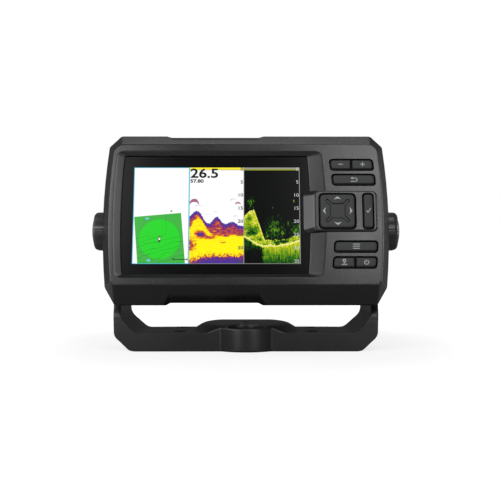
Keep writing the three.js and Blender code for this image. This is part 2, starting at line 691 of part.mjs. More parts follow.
const display = new THREE.Group();
display.position.z = AXIS_Z;
display.rotation.x = -TILT;
display.add(
  mesh("front_bezel", frontBezel(), casePlastic),
  mesh("rear_cover", rearCover(), casePlastic),
  mesh("housing_seal", housingSeal(), sealRubber),
  mesh("cover_lens", coverLens(), lensGlass),
  mesh("lens_seal", lensSeal(), sealRubber),
  mesh("lcd_cell", lcdCell(), lensGlass),
  mesh("lcd_backlight", lcdBacklight(), plastic("#e9ecec")),
  mesh("lcd_frame", lcdFrame(), steel),
  mesh("keymat", keymat(), keyRubber),
  mesh("dome_sheet", domeSheet(), steel),
  mesh("keypad_board", keypadBoard(), boardGreen),
  mesh("main_board", mainBoard(), boardGreen),
  mesh("heat_spreader", heatSpreader(), aluminium),
  mesh("shield_can", shieldCan(), steel),
  mesh("gps_antenna", gpsAntenna(), plastic("#c9b79c")),
  mesh("beeper", beeper(), plastic("#17181a")),
  mesh("sonar_transformer", sonarTransformer(), plastic("#4a4038")),
  mesh("supply_capacitor", supplyCapacitor(), aluminium),
  mesh("lcd_ribbon", lcdRibbon(), ribbonAmber),
  mesh("keypad_ribbon", keypadRibbon(), ribbonAmber),
  mesh("vent_plug", ventPlug(), sealRubber),
);

for (const [word, socket] of Object.entries(SOCKETS))
  display.add(
    mesh(`${word}_socket`, socketBody(socket), bracketPlastic),
    mesh(`${word}_pins`, socketPins(socket), brass),
    mesh(`${word}_nut`, socketNut(socket), bracketPlastic),
  );

coverScrews.forEach(([u, v], i) =>
  display.add(mesh(`cover_screw_${i + 1}`, screw(u, v, COVER_SCREW.headW, 1, 7), steel)));
boardScrews.forEach(([u, v], i) =>
  display.add(mesh(`board_screw_${i + 1}`, screw(u, v, 6.5, -1, 8), steel)));

const keyTop = FACE_W + KEY_STAND;
display.add(
  mesh("key_zoom_out", halfKey(KEY_ROWS.zoom, SPLITS.zoom, -1), keyRubber),
  mesh("key_zoom_in", halfKey(KEY_ROWS.zoom, SPLITS.zoom, 1), keyRubber),
  mesh("key_back", keyCap(keyOutline(KEY_ROWS.back), keyTop), keyRubber),
  mesh("key_select", keyCap(selectOutline(), ISLAND.height + KEY_STAND), keyRubber),
  mesh("key_menu", keyCap(keyOutline(KEY_ROWS.menu), keyTop), keyRubber),
  mesh("key_mark", halfKey(KEY_ROWS.power, SPLITS.power, -1), keyRubber),
  mesh("key_power", halfKey(KEY_ROWS.power, SPLITS.power, 1), keyRubber),
  mesh("direction_pad", directionPad(), keyRubber),
  mesh("pad_pivot", padPivot(), sealRubber),
);

for (const [word, side] of Object.entries(sides))
  display.add(
    mesh(`knob_insert_${word}`, threadedInsert(side), brass),
    mesh(`knob_stud_${word}`, knobStud(side), steel),
    mesh(`knob_washer_${word}`, knobWasher(side), steel),
    mesh(`knob_${word}`, knob(side), bracketPlastic),
  );

const chartplotter = new THREE.Group();
chartplotter.add(bracket, carrier, display);

export default chartplotter;
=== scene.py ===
"""A chartplotter display in its bail bracket: the looks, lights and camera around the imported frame."""
import json
import math

import bmesh
import bpy
from mathutils import Matrix, Vector


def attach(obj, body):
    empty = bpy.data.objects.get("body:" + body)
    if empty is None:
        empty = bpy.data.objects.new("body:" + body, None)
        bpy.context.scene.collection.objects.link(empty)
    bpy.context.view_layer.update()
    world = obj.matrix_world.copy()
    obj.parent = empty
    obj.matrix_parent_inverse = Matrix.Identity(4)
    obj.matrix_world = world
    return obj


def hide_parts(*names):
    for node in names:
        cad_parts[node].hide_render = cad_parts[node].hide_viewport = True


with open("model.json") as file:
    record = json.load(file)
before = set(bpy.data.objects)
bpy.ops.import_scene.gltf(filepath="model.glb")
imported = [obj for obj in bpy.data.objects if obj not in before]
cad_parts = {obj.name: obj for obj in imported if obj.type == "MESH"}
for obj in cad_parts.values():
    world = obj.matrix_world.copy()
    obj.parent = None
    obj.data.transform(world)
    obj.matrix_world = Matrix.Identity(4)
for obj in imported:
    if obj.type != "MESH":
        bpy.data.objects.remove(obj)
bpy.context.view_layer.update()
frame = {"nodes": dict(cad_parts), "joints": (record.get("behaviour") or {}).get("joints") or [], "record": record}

# ---- Where things are, from the frame ----
MM = 0.001
JOINTS = {joint["name"]: joint for joint in frame["joints"]}
AXIS_Z = JOINTS["tilt"]["pos_m"][2] / MM
PRESS = Vector(JOINTS["menu_press"]["axis"])
TILT = math.atan2(-PRESS.z, PRESS.y)

# ---- Driving sizes of the display, in millimetres: u to the right, v up the screen, w out of it ----
FACE_W = 30  # front rim
WIDE_W = 15  # widest section, where the front chamfers end
SPLIT_W = 12  # back of the bezel, where the rear cover's body starts
PLATE_W = 27  # back of the bezel's front plate
LIP_W = 28.2  # bottom of the window's sloped edge
LENS_W = 27  # front of the cover lens
FACE = {"half": 88.4, "bottom": -42.9, "top": 51.3, "cut_top": (4, 4), "cut_bottom": (2, 2)}
WIDE = {"half": 94.1, "bottom": -52.7, "top": 62.3, "cut_top": (8, 8), "cut_bottom": (6.6, 11.5)}
SIDE_BOW = 450  # radius of the bowed sides
WALL = 2.6
# The lower recess gets shallower behind low_w, by low_slope.
RECESS = {"from": -49, "to": 8, "lean": 1.77, "least": 0.6, "top": 60.1, "low": -47.4, "low_w": 23.1,
          "low_slope": 4.1 / 12.1}
GLASS = {"left": -80.7, "right": 41.7, "bottom": -35.5, "top": 43.8, "bow": 1.6, "ease": (1.5, 1.5, 1.6, 1.6)}
RIM = {"left": -85.9, "right": 51.9, "bottom": -38.2, "top": 46.5, "bow": 2.2, "ease": (5, 5, 5.4, 5.4)}
WINDOW_BOW = 0.85  # how much of the case's own bow the window's left side has
SCREEN = {"left": -73, "right": 35, "bottom": -28.5, "top": 36.2}

ISLAND = {"left": 37.6, "ridge": 44, "right": 85, "bottom": -8.6, "top": 19.6, "height": 31.4}
KEY_HEIGHT = 7.9
KEY_CORNER = 2.6
KEY_PLAY = 0.5  # gap around a key in its opening
KEY_STAND = 1.1  # how far a key stands out
KEY_CROWN = 0.12
KEY_BACK_W = 25.6
KEY_ROWS = {"zoom": (54.6, 83.1, 37.1), "back": (55.8, 84.1, 26.9), "menu": (56.4, 84.5, -17.9),
            "power": (55.4, 83.7, -28.3)}
SPLITS = {"zoom": 68.6, "power": 69.7}  # where two keys share a row
SPLIT_GAP = 0.36
SPLIT_CORNER = 1.2
SELECT = {"left": 75.1, "right": 82.4, "bottom": -6.7, "top": 17.4}
ROW_LEAN = 0.7  # how much the ends of a row lean with the bowed sides
PAD = {"u": 58.9, "v": 5.3, "half": 12, "corner": 3.6, "crown": 0.05}
CROSS = {"core": 5.1, "half": 1.25, "reach": 10.6, "sunken": 0.4, "groove": 1.15, "groove_width": 0.6}
ARROW_AWAY = 8.5  # from the middle of the pad
PRINT_DEPTH = (-0.06, 0.05)  # printed marks, from just under a surface to just over it

BODY = {"half": 78, "bottom": -38.5, "top": 48, "cut": 8}
BODY_BACK = {"half": 68, "bottom": -30, "top": 40, "cut": 8}
COVER_WALL = 2.5
BEND_W = -10  # where the rear cover starts to narrow
BACK_W = -24  # rear wall
BOARD_BACK_W = 3  # back face of the main board
CASE_BOSS = {"radius": 11.6, "from": 50, "to": 81.6}
INSERT_BOSS = {"radius": 7.2, "bore": 5.3, "from": 68, "bore_from": 69.7, "to": 78}
POST = {"radius": 3.5, "bore": 1.5}
GROOVES = {"inner": 18, "outer": 50, "v": 16, "step": 4.5, "count": 5, "half": 0.8, "corner": 0.78,
           "depth": 0.8}
LABEL = {"half": 10, "bottom": -21, "top": -3, "corner": 1.5, "depth": 0.4}
COVER_SCREWS = [(u, v) for u in (-60, 0, 60) for v in (52.2, -42.8)]
BOARD_SCREWS = [(-58, -22), (58, -22), (-58, 32), (58, 32)]
SCREW_W = 11.8  # outer face of a cover screw's head
SCREW = ((1.9, 0), (2.7, 0.7), (2.7, 1.6), (1.2, 1.6), (1.2, 8), (0.4, 8.6))  # radius, distance from SCREW_W
SCREW_HOLE = ((3.2, 11), (3.2, 13.7), (1.8, 13.7), (1.8, 16))  # radius, w
SCREW_SLOT = {"half": 3, "half_width": 0.35, "depth": 0.7}
SOCKET = {"u": {"power": 24, "transducer": -24}, "pins": {"power": 4, "transducer": 8}, "v": -12, "barrel": 8,
          "bore": 6.2, "flange": (11, -21.2, -19), "mouth": -34, "inner": -12, "pitch": 1.1, "threads": 6,
          "groove": 0.4, "key": 1.2, "key_end": -26, "pin_circle": 3.4}
CONTACT = ((0.3, -29), (0.7, -28.5), (0.7, -25))  # radius, w
WALL_HOLE = (-30, -15)  # a cutter's depths, right through the rear wall
NUT = {"from": -27.2, "to": -24.3, "hexagon": 3.6, "across": 2.2}
VENT = (0, 26)
VENT_HOLE = 4.3
VENT_PLUG = ((2.2, -25.6), (2.6, -25.2), (2.6, -24.8), (3.7, -24.8), (4, -24.5), (4, -22))  # radius, w
STUD_BORE = 3.3
WASHER = ((8.7, 88.9), (9, 89.15), (9, 89.65), (8.7, 89.9))  # radius, distance from the middle
KNOB = {"inner": 90.2, "outer": 102.8, "radius": 13.3, "dome": 1.6, "edge": 3.2, "ribs": 6,
        "rib_angle": math.radians(4.3), "rib_place": 0.7, "rib_width": 0.26, "rib_height": 0.26,
        "scallop": 0.9, "flat": 1.7, "bore_end": 98.3, "pocket": (91.9, 94.3), "pocket_radius": 5.4,
        "relief": 1.1}
RIB_STEPS = (0.35, 0.5, 0.7, 0.9, 1.05, 1.3)  # where a pair of ribs is sampled, from its middle

# ---- Driving sizes of the bracket: x to the right, y back, z up ----
BASE = {"half": 75.7, "height": 12, "front": -22.5, "back": 22.3}
ARM = {"foot": 86.1, "top": 88.6, "inner_foot": 81.7, "inner_top": 84.7, "inner_rise": 10.4,
       "inner_run": 10.3, "corner": 10, "tip": 11.4, "taper": (3.2, 4.2)}
PIVOT = {"inner": 83.4, "outer": 88.6, "slot": 6, "clear": 70}
BULGE = {"y": -3.1, "radius": 25.4}
BOSS = {"y": 3, "foot": 36, "top": 26.5, "height": 17, "hole": 3}
WELL = {"y": -29, "radius": 15.2, "floor": 4, "wall": 1.6}
MOUNT_HOLES = {"x": 43.8, "y": (-8.5, 16.5), "radius": 2.7, "sink": 4.7, "sink_depth": 2.4}
FAR = 110  # past every end of the object, for cutters

# ---- Camera ----
LENS_MM = 72.6
CAMERA = Vector((-0.0009, -0.6777, 0.0818))
PITCH_DOWN = math.radians(1.364)
TURN_RIGHT = math.radians(0.307)


def add_object(name, data):
    made = bpy.data.objects.new(name, data)
    bpy.context.scene.collection.objects.link(made)
    return made


def make_camera():
    data = bpy.data.cameras.new("camera")
    data.lens = LENS_MM
    data.sensor_width = 36
    camera = add_object("camera", data)
    camera.location = CAMERA
    camera.rotation_euler = (math.pi / 2 - PITCH_DOWN, 0, -TURN_RIGHT)
    bpy.context.scene.camera = camera


# ---- Shader nodes ----
def fill(tree, node, inputs):
    """Gives inputs of a node their constants, or links them to other nodes' outputs."""
    for place, value in inputs.items():
        if isinstance(value, bpy.types.NodeSocket):
            tree.links.new(value, node.inputs[place])
        else:
            node.inputs[place].default_value = value


def add_node(tree, kind, output, inputs=None, **settings):
    """Adds a node and returns one of its outputs."""
    node = tree.nodes.new(kind)
    for name, value in settings.items():
        setattr(node, name, value)
    fill(tree, node, inputs or {})
    return node.outputs[output]


def feed(material, inputs):
    """Sets or links inputs of a material's surface shader."""
    fill(material.node_tree, material.node_tree.nodes["Principled BSDF"], inputs)


def new_material(name, roughness, metallic=0.0, specular=0.5):
    material = bpy.data.materials.new(name)
    material.use_nodes = True
    feed(material, {"Roughness": roughness, "Metallic": metallic, "Specular IOR Level": specular})
    return material


# ---- Light ----
AIM = Vector((0, 0, 0.08))
WORLD_LIGHT = 0.08
PAPER_WHITE = (1, 1, 1, 1)
FLOOR_HALF = 6.0
FLOOR_SHADE = {"From Min": 0.10, "From Max": 0.24, "To Min": 0.76, "To Max": 1.0}
SOFTBOXES = {  # degrees to the right of the front and up, metres away, width and height, watts
    "left_floor_strip": (-25, -3, 0.62, (0.16, 0.06), 0.32),
    "left_softbox": (-25, 31, 0.62, (0.16, 0.2), 0.58),
    "left_wide_softbox": (-50, 25, 0.62, (0.3, 0.3), 1.2),
    "right_floor_strip": (25, -3, 0.62, (0.16, 0.06), 0.3),
    "right_softbox": (18, 31, 0.62, (0.12, 0.2), 0.5),
    "right_high_softbox": (20, 52, 0.62, (0.2, 0.2), 0.5),
    "left_side_softbox": (-100, 8, 0.64, (0.3, 0.3), 1.15),
    "right_side_softbox": (104, 5, 0.64, (0.3, 0.3), 1.8),
    "back_softbox": (180, 58, 0.65, (0.5, 0.3), 0.5),
}


def make_softbox(name, azimuth, height, away, size, watts):
    """A rectangular area light that faces the display."""
    data = bpy.data.lights.new(name, "AREA")
    data.shape = "RECTANGLE"
    data.size, data.size_y = size
    data.energy = watts
    light = add_object(name, data)
    turn, rise = math.radians(azimuth), math.radians(height)
    out = Vector((math.sin(turn) * math.cos(rise), -math.cos(turn) * math.cos(rise), math.sin(rise)))
    light.location = AIM + out * away
    light.rotation_euler = (-out).to_track_quat("-Z", "Y").to_euler()
    light.visible_camera = False


def make_world():
    """White where the camera sees it, and a faint even light on the display."""
    world = bpy.data.worlds.new("studio")
    world.use_nodes = True
    tree = world.node_tree
    faint = tree.nodes["Background"]
    fill(tree, faint, {"Color": PAPER_WHITE, "Strength": WORLD_LIGHT})
    bright = add_node(tree, "ShaderNodeBackground", 0, {"Color": PAPER_WHITE, "Strength": 1.0})
    seen = add_node(tree, "ShaderNodeLightPath", "Is Camera Ray")
    mixed = add_node(tree, "ShaderNodeMixShader", 0, {0: seen, 1: faint.outputs[0], 2: bright})
    tree.links.new(mixed, tree.nodes["World Output"].inputs[0])
    bpy.context.scene.world = world
    bpy.context.scene.view_settings.view_transform = "Standard"


def make_floor():
    """A plain pale floor, which the camera sees fade to white away from the bracket."""
    mesh = bpy.data.meshes.new("floor")
    corners = [(x * FLOOR_HALF, y * FLOOR_HALF, 0) for x, y in ((-1, -1), (1, -1), (1, 1), (-1, 1))]
    mesh.from_pydata(corners, [], [(0, 1, 2, 3)])
    floor = add_object("floor", mesh)
    material = new_material("floor_paper", 0.9, specular=0.1)
    tree = material.node_tree
    place = add_node(tree, "ShaderNodeTexCoord", "Object")
    away = add_node(tree, "ShaderNodeVectorMath", "Value", {0: place}, operation="LENGTH")
    fade = add_node(tree, "ShaderNodeMapRange", "Result", {"Value": away, **FLOOR_SHADE},
                    interpolation_type="SMOOTHSTEP")
    seen = add_node(tree, "ShaderNodeLightPath", "Is Camera Ray")
    glow = add_node(tree, "ShaderNodeMath", 0, {0: seen, 1: fade}, operation="MULTIPLY")
    grey = (0.3, 0.3, 0.3, 1)
    feed(material, {"Base Color": grey, "Emission Color": PAPER_WHITE, "Emission Strength": glow})
    mesh.materials.append(material)


# ---- Outlines: closed lists of (x, y), counter-clockwise ----
def arc(x, y, radius, start, end, steps):
    angles = [start + (end - start) * i / steps for i in range(steps + 1)]
    return [(x + radius * math.cos(a), y + radius * math.sin(a)) for a in angles]


def circle(x, y, radius, sides):
    return arc(x, y, radius, 0, 2 * math.pi, sides)[:-1]


def rectangle(left, right, bottom, top):
    return [(right, bottom), (right, top), (left, top), (left, bottom)]


def rounded(left, right, bottom, top, radius, steps=5):
    """A rectangle with round corners."""
    centres = rectangle(left + radius, right - radius, bottom + radius, top - radius)
    points = []
    for i, (x, y) in enumerate(centres):
        points += arc(x, y, radius, (i - 1) * math.pi / 2, i * math.pi / 2, steps)
    return points


def moved(outline, u, v):
    return [(x + u, y + v) for x, y in outline]


def rotated(outline, degrees):
    turn = Matrix.Rotation(math.radians(degrees), 2)
    return [tuple(turn @ Vector(point)) for point in outline]


def mirrored(right):
    """The right half of an outline, followed by its mirror image."""
    return right + [(-x, y) for x, y in reversed(right)]


def ease(before, corner, after, cuts, steps):
    """The curve that rounds a corner, from a cut before it to a cut after it."""
    start = corner + (before - corner).normalized() * cuts[0]
    end = corner + (after - corner).normalized() * cuts[1]
    curve = []
    for k in range(steps + 1):
        t = k / steps
        curve.append(start * (1 - t) ** 2 + corner * 2 * t * (1 - t) + end * t ** 2)
    return curve


def eased(corners, cuts, bows=None, steps=4, side_steps=1):
    """A closed outline with eased corners, whose sides can bow outwards by a sagitta."""
    count = len(corners)
    points = [Vector(corner) for corner in corners]
    bows = bows or [0] * count
    result = []
    for i, corner in enumerate(points):
        after = points[(i + 1) % count]
        curve = ease(points[i - 1], corner, after, (cuts[i], cuts[i]), steps)
        result += curve
        side = after - corner
        outward = Vector((side.y, -side.x)).normalized()
        leave = after - side.normalized() * cuts[(i + 1) % count]
        for k in range(1, side_steps):
            t = k / side_steps
            result.append(curve[-1].lerp(leave, t) + outward * bows[i] * 4 * t * (1 - t))
    return [tuple(point) for point in result]


def eased_path(path):
    """A closed outline through (corner, cut) pairs. A cut eases its corner, over at most half of a side."""
    points = [Vector(corner) for corner, _ in path]
    result = []
    for i, (_, cut) in enumerate(path):
        before, corner, after = points[i - 1], points[i], points[(i + 1) % len(path)]
        reach = [min(cut, (end - corner).length / 2) for end in (before, after)]
        result += ease(before, corner, after, reach, 6) if cut else [corner]
    return [tuple(point) for point in result]


def offset(outline, distance):
    """The outline moved outwards by a distance, with a point for each of its points."""
    count = len(outline)
    points = [Vector(point) for point in outline]
    result = []
    for i, point in enumerate(points):
        normals = []
        for a, b in ((points[i - 1], point), (point, points[(i + 1) % count])):
            side = (b - a).normalized()
            normals.append(Vector((side.y, -side.x)))
        middle = (normals[0] + normals[1]).normalized()
        result.append(tuple(point + middle * distance / max(0.35, middle.dot(normals[0]))))
    return result


# ---- Places: each turns an outline point and a depth into metres ----
ON_FLOOR = Matrix.Scale(MM, 4)
ACROSS = Matrix(((0, 0, MM, 0), (MM, 0, 0, 0), (0, MM, 0, 0), (0, 0, 0, 1)))
FACING = Matrix(((MM, 0, 0, 0), (0, 0, -MM, 0), (0, MM, 0, 0), (0, 0, 0, 1)))
ON_DISPLAY = Matrix.Translation((0, 0, AXIS_Z * MM)) @ Matrix.Rotation(-TILT, 4, "X") @ FACING


def along_x(side):
    """Turned about the tilt axis: the outline is in the Y-Z plane and the depth runs outwards."""
    return Matrix(((0, 0, side * MM, 0), (side * MM, 0, 0, 0), (0, MM, 0, AXIS_Z * MM), (0, 0, 0, 1)))


# ---- Solids ----
def chain(points, cuts, steps):
    """An open chain of points, with its inner corners eased."""
    result = [points[0]]
    last = len(points) - 1
    for i in range(1, last):
        before, corner, after = points[i - 1:i + 2]
        if not cuts[i]:
            result.append(corner)
            continue
        shares = (0.97 if i == 1 else 0.45), (0.97 if i == last - 1 else 0.45)
        reach = [min(cuts[i], (end - corner).length * share) for end, share in zip((before, after), shares)]
        result += ease(before, corner, after, reach, steps)
    return result + [points[-1]]


def loft(name, rings, cuts=None, steps=3, place=ON_DISPLAY):
    """A closed solid through rings of (outline, depth), with its edges eased over the cuts."""
    cuts = cuts or [0] * len(rings)
    count = len(rings[0][0])
    columns = []
    for i in range(count):
        column = [Vector((*outline[i], depth)) for outline, depth in rings]
        columns.append(chain(column, cuts, steps))
    levels = len(columns[0])
    vertices = [place @ columns[i][k] for k in range(levels) for i in range(count)]
    faces = [tuple(range(count)), tuple(range((levels - 1) * count, levels * count))]
    for k in range(levels - 1):
        for i in range(count):
            j = (i + 1) % count
            faces.append((k * count + i, k * count + j, (k + 1) * count + j, (k + 1) * count + i))
    mesh = bpy.data.meshes.new(name)
    mesh.from_pydata(vertices, [], faces)
    work = bmesh.new()
    work.from_mesh(mesh)
    bmesh.ops.recalc_face_normals(work, faces=work.faces)
    if work.calc_volume(signed=True) < 0:
        bmesh.ops.reverse_faces(work, faces=work.faces)
    work.to_mesh(mesh)
    work.free()
    return add_object(name, mesh)


def slab(name, outline, bottom, top, place=ON_DISPLAY):
    """A straight solid of one outline."""
    return loft(name, [(outline, bottom), (outline, top)], place=place)


def prism(name, outline, profile):
    """A loft of one outline through a profile of (outward offset, depth)."""
    return loft(name, [(offset(outline, grow), depth) for grow, depth in profile])


def rod(name, at, profile, sides=40, place=ON_DISPLAY):
    """A round solid through a profile of (radius, depth)."""
    return loft(name, [(circle(*at, radius, sides), depth) for radius, depth in profile], place=place)


def pin(name, at, radius, start, end, sides=40, place=ON_DISPLAY):
    """A plain round solid of one radius."""
    return rod(name, at, [(radius, start), (radius, end)], sides, place)


def side_pins(name, radius, start, end, sides):
    """A pair of round solids on the tilt axis, one at each side."""
    return [pin(name, (0, 0), radius, start, end, sides, along_x(side)) for side in (-1, 1)]


def applied_mesh(piece):
    """The piece's mesh with its modifiers applied."""
    graph = bpy.context.evaluated_depsgraph_get()
    return bpy.data.meshes.new_from_object(piece.evaluated_get(graph))


def combine(piece, operation, *tools):
    """Joins the tools to the piece, cuts them from it or keeps only what they share, and removes them."""
    for tool in tools:
        modifier = piece.modifiers.new("combine", "BOOLEAN")
        modifier.operation = operation
        modifier.solver = "EXACT"
        modifier.object = tool
        mesh = applied_mesh(piece)
        piece.modifiers.clear()
        old = piece.data
        piece.data = mesh
        bpy.data.meshes.remove(old)
        bpy.data.objects.remove(tool)
    return piece


def gather(name, pieces):
    """Joins objects into one, as loose parts."""
    if len(pieces) > 1:
        with bpy.context.temp_override(active_object=pieces[0], selected_editable_objects=pieces):
            bpy.ops.object.join()
    pieces[0].name = name
    return pieces[0]


SHARP = math.radians(38)


def finish_piece(piece, body, slot, *nodes, material=None):
    """Shades the piece smoothly, gives it its material, and puts it on its body in place of CAD nodes."""
    mesh = piece.data
    mesh.name = piece.name
    mesh.materials.clear()
    mesh.materials.append(material or LOOKS[slot])
    mesh.polygons.foreach_set("use_smooth", [True] * len(mesh.polygons))
    mesh.polygons.foreach_set("material_index", [0] * len(mesh.polygons))
    mesh.set_sharp_from_angle(angle=SHARP)
    weighted = piece.modifiers.new("weighted_normals", "WEIGHTED_NORMAL")
    weighted.keep_sharp = True
    weighted.weight = 90
    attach(piece, body)
    if nodes:
        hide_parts(*nodes)


# ---- Materials ----
def noise(tree, scale, detail=3.0, stretch=(1, 1, 1)):
    """Noise over the object's own coordinates, in features per metre."""
    place = add_node(tree, "ShaderNodeTexCoord", "Object")
    spot = add_node(tree, "ShaderNodeMapping", "Vector", {"Vector": place, "Scale": stretch})
    return add_node(tree, "ShaderNodeTexNoise", "Fac", {"Vector": spot, "Scale": scale, "Detail": detail})


def spread(tree, source, low, high):
    """A number from low to high as the source goes through its middle range."""
    limits = {"Value": source, "From Min": 0.3, "From Max": 0.7, "To Min": low, "To Max": high}
    return add_node(tree, "ShaderNodeMapRange", "Result", limits)


def tint(tree, source, dark, light):
    """A colour between two, by the source."""
    return add_node(tree, "ShaderNodeMix", 2, {0: source, 6: (*dark, 1), 7: (*light, 1)}, data_type="RGBA")


def bump(tree, source, depth):
    """A relief of the surface, as deep as the given metres."""
    return add_node(tree, "ShaderNodeBump", "Normal", {"Height": source, "Distance": depth, "Strength": 1.0})


def shaded(colour, share):
    return tuple(c * share for c in colour)


def moulded(name, colour, roughness, grain_size, grain_depth, specular=0.5, mottle=0.12):
    """Moulded plastic or rubber with a fine eroded grain and a slight unevenness of colour and gloss."""
    material = new_material(name, roughness, specular=specular)
    tree = material.node_tree
    patches = noise(tree, 35, 4)
    feed(material, {
        "Base Color": tint(tree, patches, shaded(colour, 1 - mottle), shaded(colour, 1 + mottle)),
        "Roughness": spread(tree, patches, roughness - 0.03, roughness + 0.03),
        "Normal": bump(tree, noise(tree, 1 / grain_size, 2), grain_depth),
    })
    return material


def metal(name, colour, roughness, stretch=(1, 1, 1)):
    """Bare or plated metal with faint turning or drawing marks."""
    material = new_material(name, roughness, metallic=1.0)
    tree = material.node_tree
    marks = noise(tree, 900, 3, stretch)
    feed(material, {
        "Base Color": tint(tree, marks, shaded(colour, 0.85), colour),
        "Roughness": spread(tree, marks, roughness - 0.08, roughness + 0.08),
        "Normal": bump(tree, marks, 0.00001),
    })
    return material


def laminate(name, colour, track):
    """A circuit board: green solder resist over raised tracks."""
    material = new_material(name, 0.4)
    tree = material.node_tree
    tracks = noise(tree, 700, 0, (1, 6, 1))
    feed(material, {"Base Color": tint(tree, tracks, colour, track), "Normal": bump(tree, tracks, 0.00005)})
    return material


def glowing(name, colour, strength):
    """Ink or paint that the light behind it shines through."""
    material = new_material(name, 0.7, specular=0.1)
    tree = material.node_tree
    shade = tint(tree, noise(tree, 400, 2), shaded(colour, 0.93), colour)
    feed(material, {"Base Color": shade, "Emission Color": shade, "Emission Strength": strength})
    return material


MOULDED = {  # colour, roughness, size and depth of the grain in metres, then gloss and mottling
    "case_plastic": ((0.0155, 0.016, 0.0165), 0.27, 0.00022, 0.000012, 0.5),
    "bracket_plastic": ((0.014, 0.0145, 0.015), 0.34, 0.0003, 0.000018, 0.45),
    # The knobs: the bracket plastic made lighter and glossier; the lighter colour is painted light, standing in
    # for light on the grips.
    "knob_painted_light_plastic": ((0.032, 0.0325, 0.033), 0.34, 0.0003, 0.000012, 0.6),
    "socket_plastic": ((0.012, 0.012, 0.013), 0.32, 0.0003, 0.00001),
    "key_rubber": ((0.035, 0.036, 0.037), 0.55, 0.00018, 0.00001, 0.4),
    "seal_rubber": ((0.010, 0.010, 0.010), 0.7, 0.0002, 0.00001, 0.3),
    "component_black": ((0.02, 0.02, 0.021), 0.5, 0.0002, 0.00001),
    "ceramic": ((0.5, 0.46, 0.38), 0.5, 0.0003, 0.00002),
    "light_guide": ((0.75, 0.76, 0.74), 0.35, 0.0004, 0.00001),
    "screen_glass": ((0.02, 0.025, 0.03), 0.12, 0.0005, 0.000002, 0.5, 0.3),
    "ribbon_film": ((0.42, 0.18, 0.03), 0.35, 0.0008, 0.00001, 0.5, 0.3),
}
METALS = {  # colour, roughness and the stretch of the marks
    "steel": ((0.62, 0.63, 0.64), 0.28),
    "brass": ((0.72, 0.53, 0.22), 0.3),
    "aluminium": ((0.66, 0.67, 0.68), 0.4, (1, 12, 1)),
}
# The looks of every slot, by its name; the knobs have one of their own, a lighter copy of the bracket plastic
# whose lighter colour is painted light.
LOOKS = {name: moulded(name, *look) for name, look in MOULDED.items()}
LOOKS.update({name: metal(name, *look) for name, look in METALS.items()})
LOOKS["board_laminate"] = laminate("board_laminate", (0.01, 0.10, 0.045), (0.02, 0.19, 0.09))
LOOKS["lens_glass"] = LOOKS["screen_glass"]

WHITE_PRINT = glowing("white_print", (0.36, 0.36, 0.37), 0.42)
DARK_INK = glowing("dark_ink", (0.012, 0.012, 0.014), 0.5)
GREY_INK = glowing("grey_ink", (0.05, 0.045, 0.055), 0.6)
WHITE_INK = glowing("white_ink", (0.42, 0.42, 0.42), 0.7)


def dress_frame():
    """Gives every CAD node the material of its slot."""
    for part in frame["record"]["subparts"]:
        data = frame["nodes"][part["node"]].data
        data.materials.clear()
        data.materials.append(LOOKS[part["material_slot"]])


# ---- Front bezel ----
BEZEL_SECTIONS = [  # depth, eased cuts up the side, cut of the recesses' corners, easing of the edge there
    (FACE_W, (1.2, 1.2, 2.6, 2.6), 0.25, 0.55),
    (RECESS["low_w"], (1, 1.4, 2.2, 2.2), 0.25, 0),
    (18, (1, 1.4, 1.8, 1.8), 0.25, 0),
    (WIDE_W, (1, 1.4, 1.2, 1.2), 0.5, 0.5),
    (SPLIT_W, (1, 1.4, 1.2, 1.2), 0.5, 0.35),
]


def side_corners(shape):
    """The right side of one of the case's outlines, from the bottom up."""
    bottom, top = shape["bottom"], shape["top"]
    low, high = bottom + shape["cut_bottom"][1], top - shape["cut_top"][1]
    sides = [shape["half"] - (v - (bottom + top) / 2) ** 2 / (2 * SIDE_BOW) for v in (low, high)]
    return [(sides[0] - shape["cut_bottom"][0], bottom), (sides[0], low), (sides[1], high),
            (sides[1] - shape["cut_top"][0], top)]


def recess(edge, floor):
    """The corners of the shallow recess in the case's top or bottom edge, from right to left."""
    start, end = RECESS["from"], RECESS["to"]
    run = max(RECESS["least"], RECESS["lean"] * abs(edge - floor))
    return [(end + run, edge), (end, floor), (start, floor), (start - run, edge)]


def case_corners(w):
    """The corners of the bezel's section at one depth, counter-clockwise from the bottom right."""
    t = min(1, (FACE_W - w) / (FACE_W - WIDE_W))
    right = []
    for near, far in zip(side_corners(FACE), side_corners(WIDE)):
        right.append((near[0] * (1 - t) + far[0] * t, near[1] * (1 - t) + far[1] * t))
    left = [(-u, v) for u, v in reversed(right)]
    bottom, top = right[0][1], right[-1][1]
    floor_low = max(bottom, RECESS["low"] - RECESS["low_slope"] * max(0, RECESS["low_w"] - w))
    return right + recess(top, min(top, RECESS["top"])) + left + recess(bottom, floor_low)[::-1]


def case_section(w, side, notch):
    """The bezel's section with eased corners: four cuts up its sides, and one for the recesses."""
    corners = case_corners(w)
    bow = (corners[2][1] - corners[1][1]) ** 2 / (8 * SIDE_BOW)
    cuts = [*side, *[notch] * 4, *side[::-1], *[notch] * 4]
    bows = [0, bow] + [0] * 7 + [bow] + [0] * 6
    return eased(corners, cuts, bows, side_steps=8)


def bezel_blank():
    rings = [(case_section(w, side, notch), w) for w, side, notch, _ in BEZEL_SECTIONS]
    front, back = rings[0][0], rings[-1][0]
    rings = [(offset(front, -1), FACE_W), *rings, (offset(back, -0.4), SPLIT_W)]
    eases = [0, *(section[3] for section in BEZEL_SECTIONS), 0]
    return loft("front_bezel_shell", rings, eases, steps=4)


def plain_section(w, inset):
    """The bezel's section without its recesses, moved inwards."""
    corners = case_corners(w)
    return offset(corners[:4] + corners[8:12], -inset)


def bezel_hollow():
    wide, face = plain_section(WIDE_W, WALL), plain_section(FACE_W, 2)
    return loft("hollow", [(wide, SPLIT_W - 2), (wide, WIDE_W - 0.2), (face, PLATE_W)])


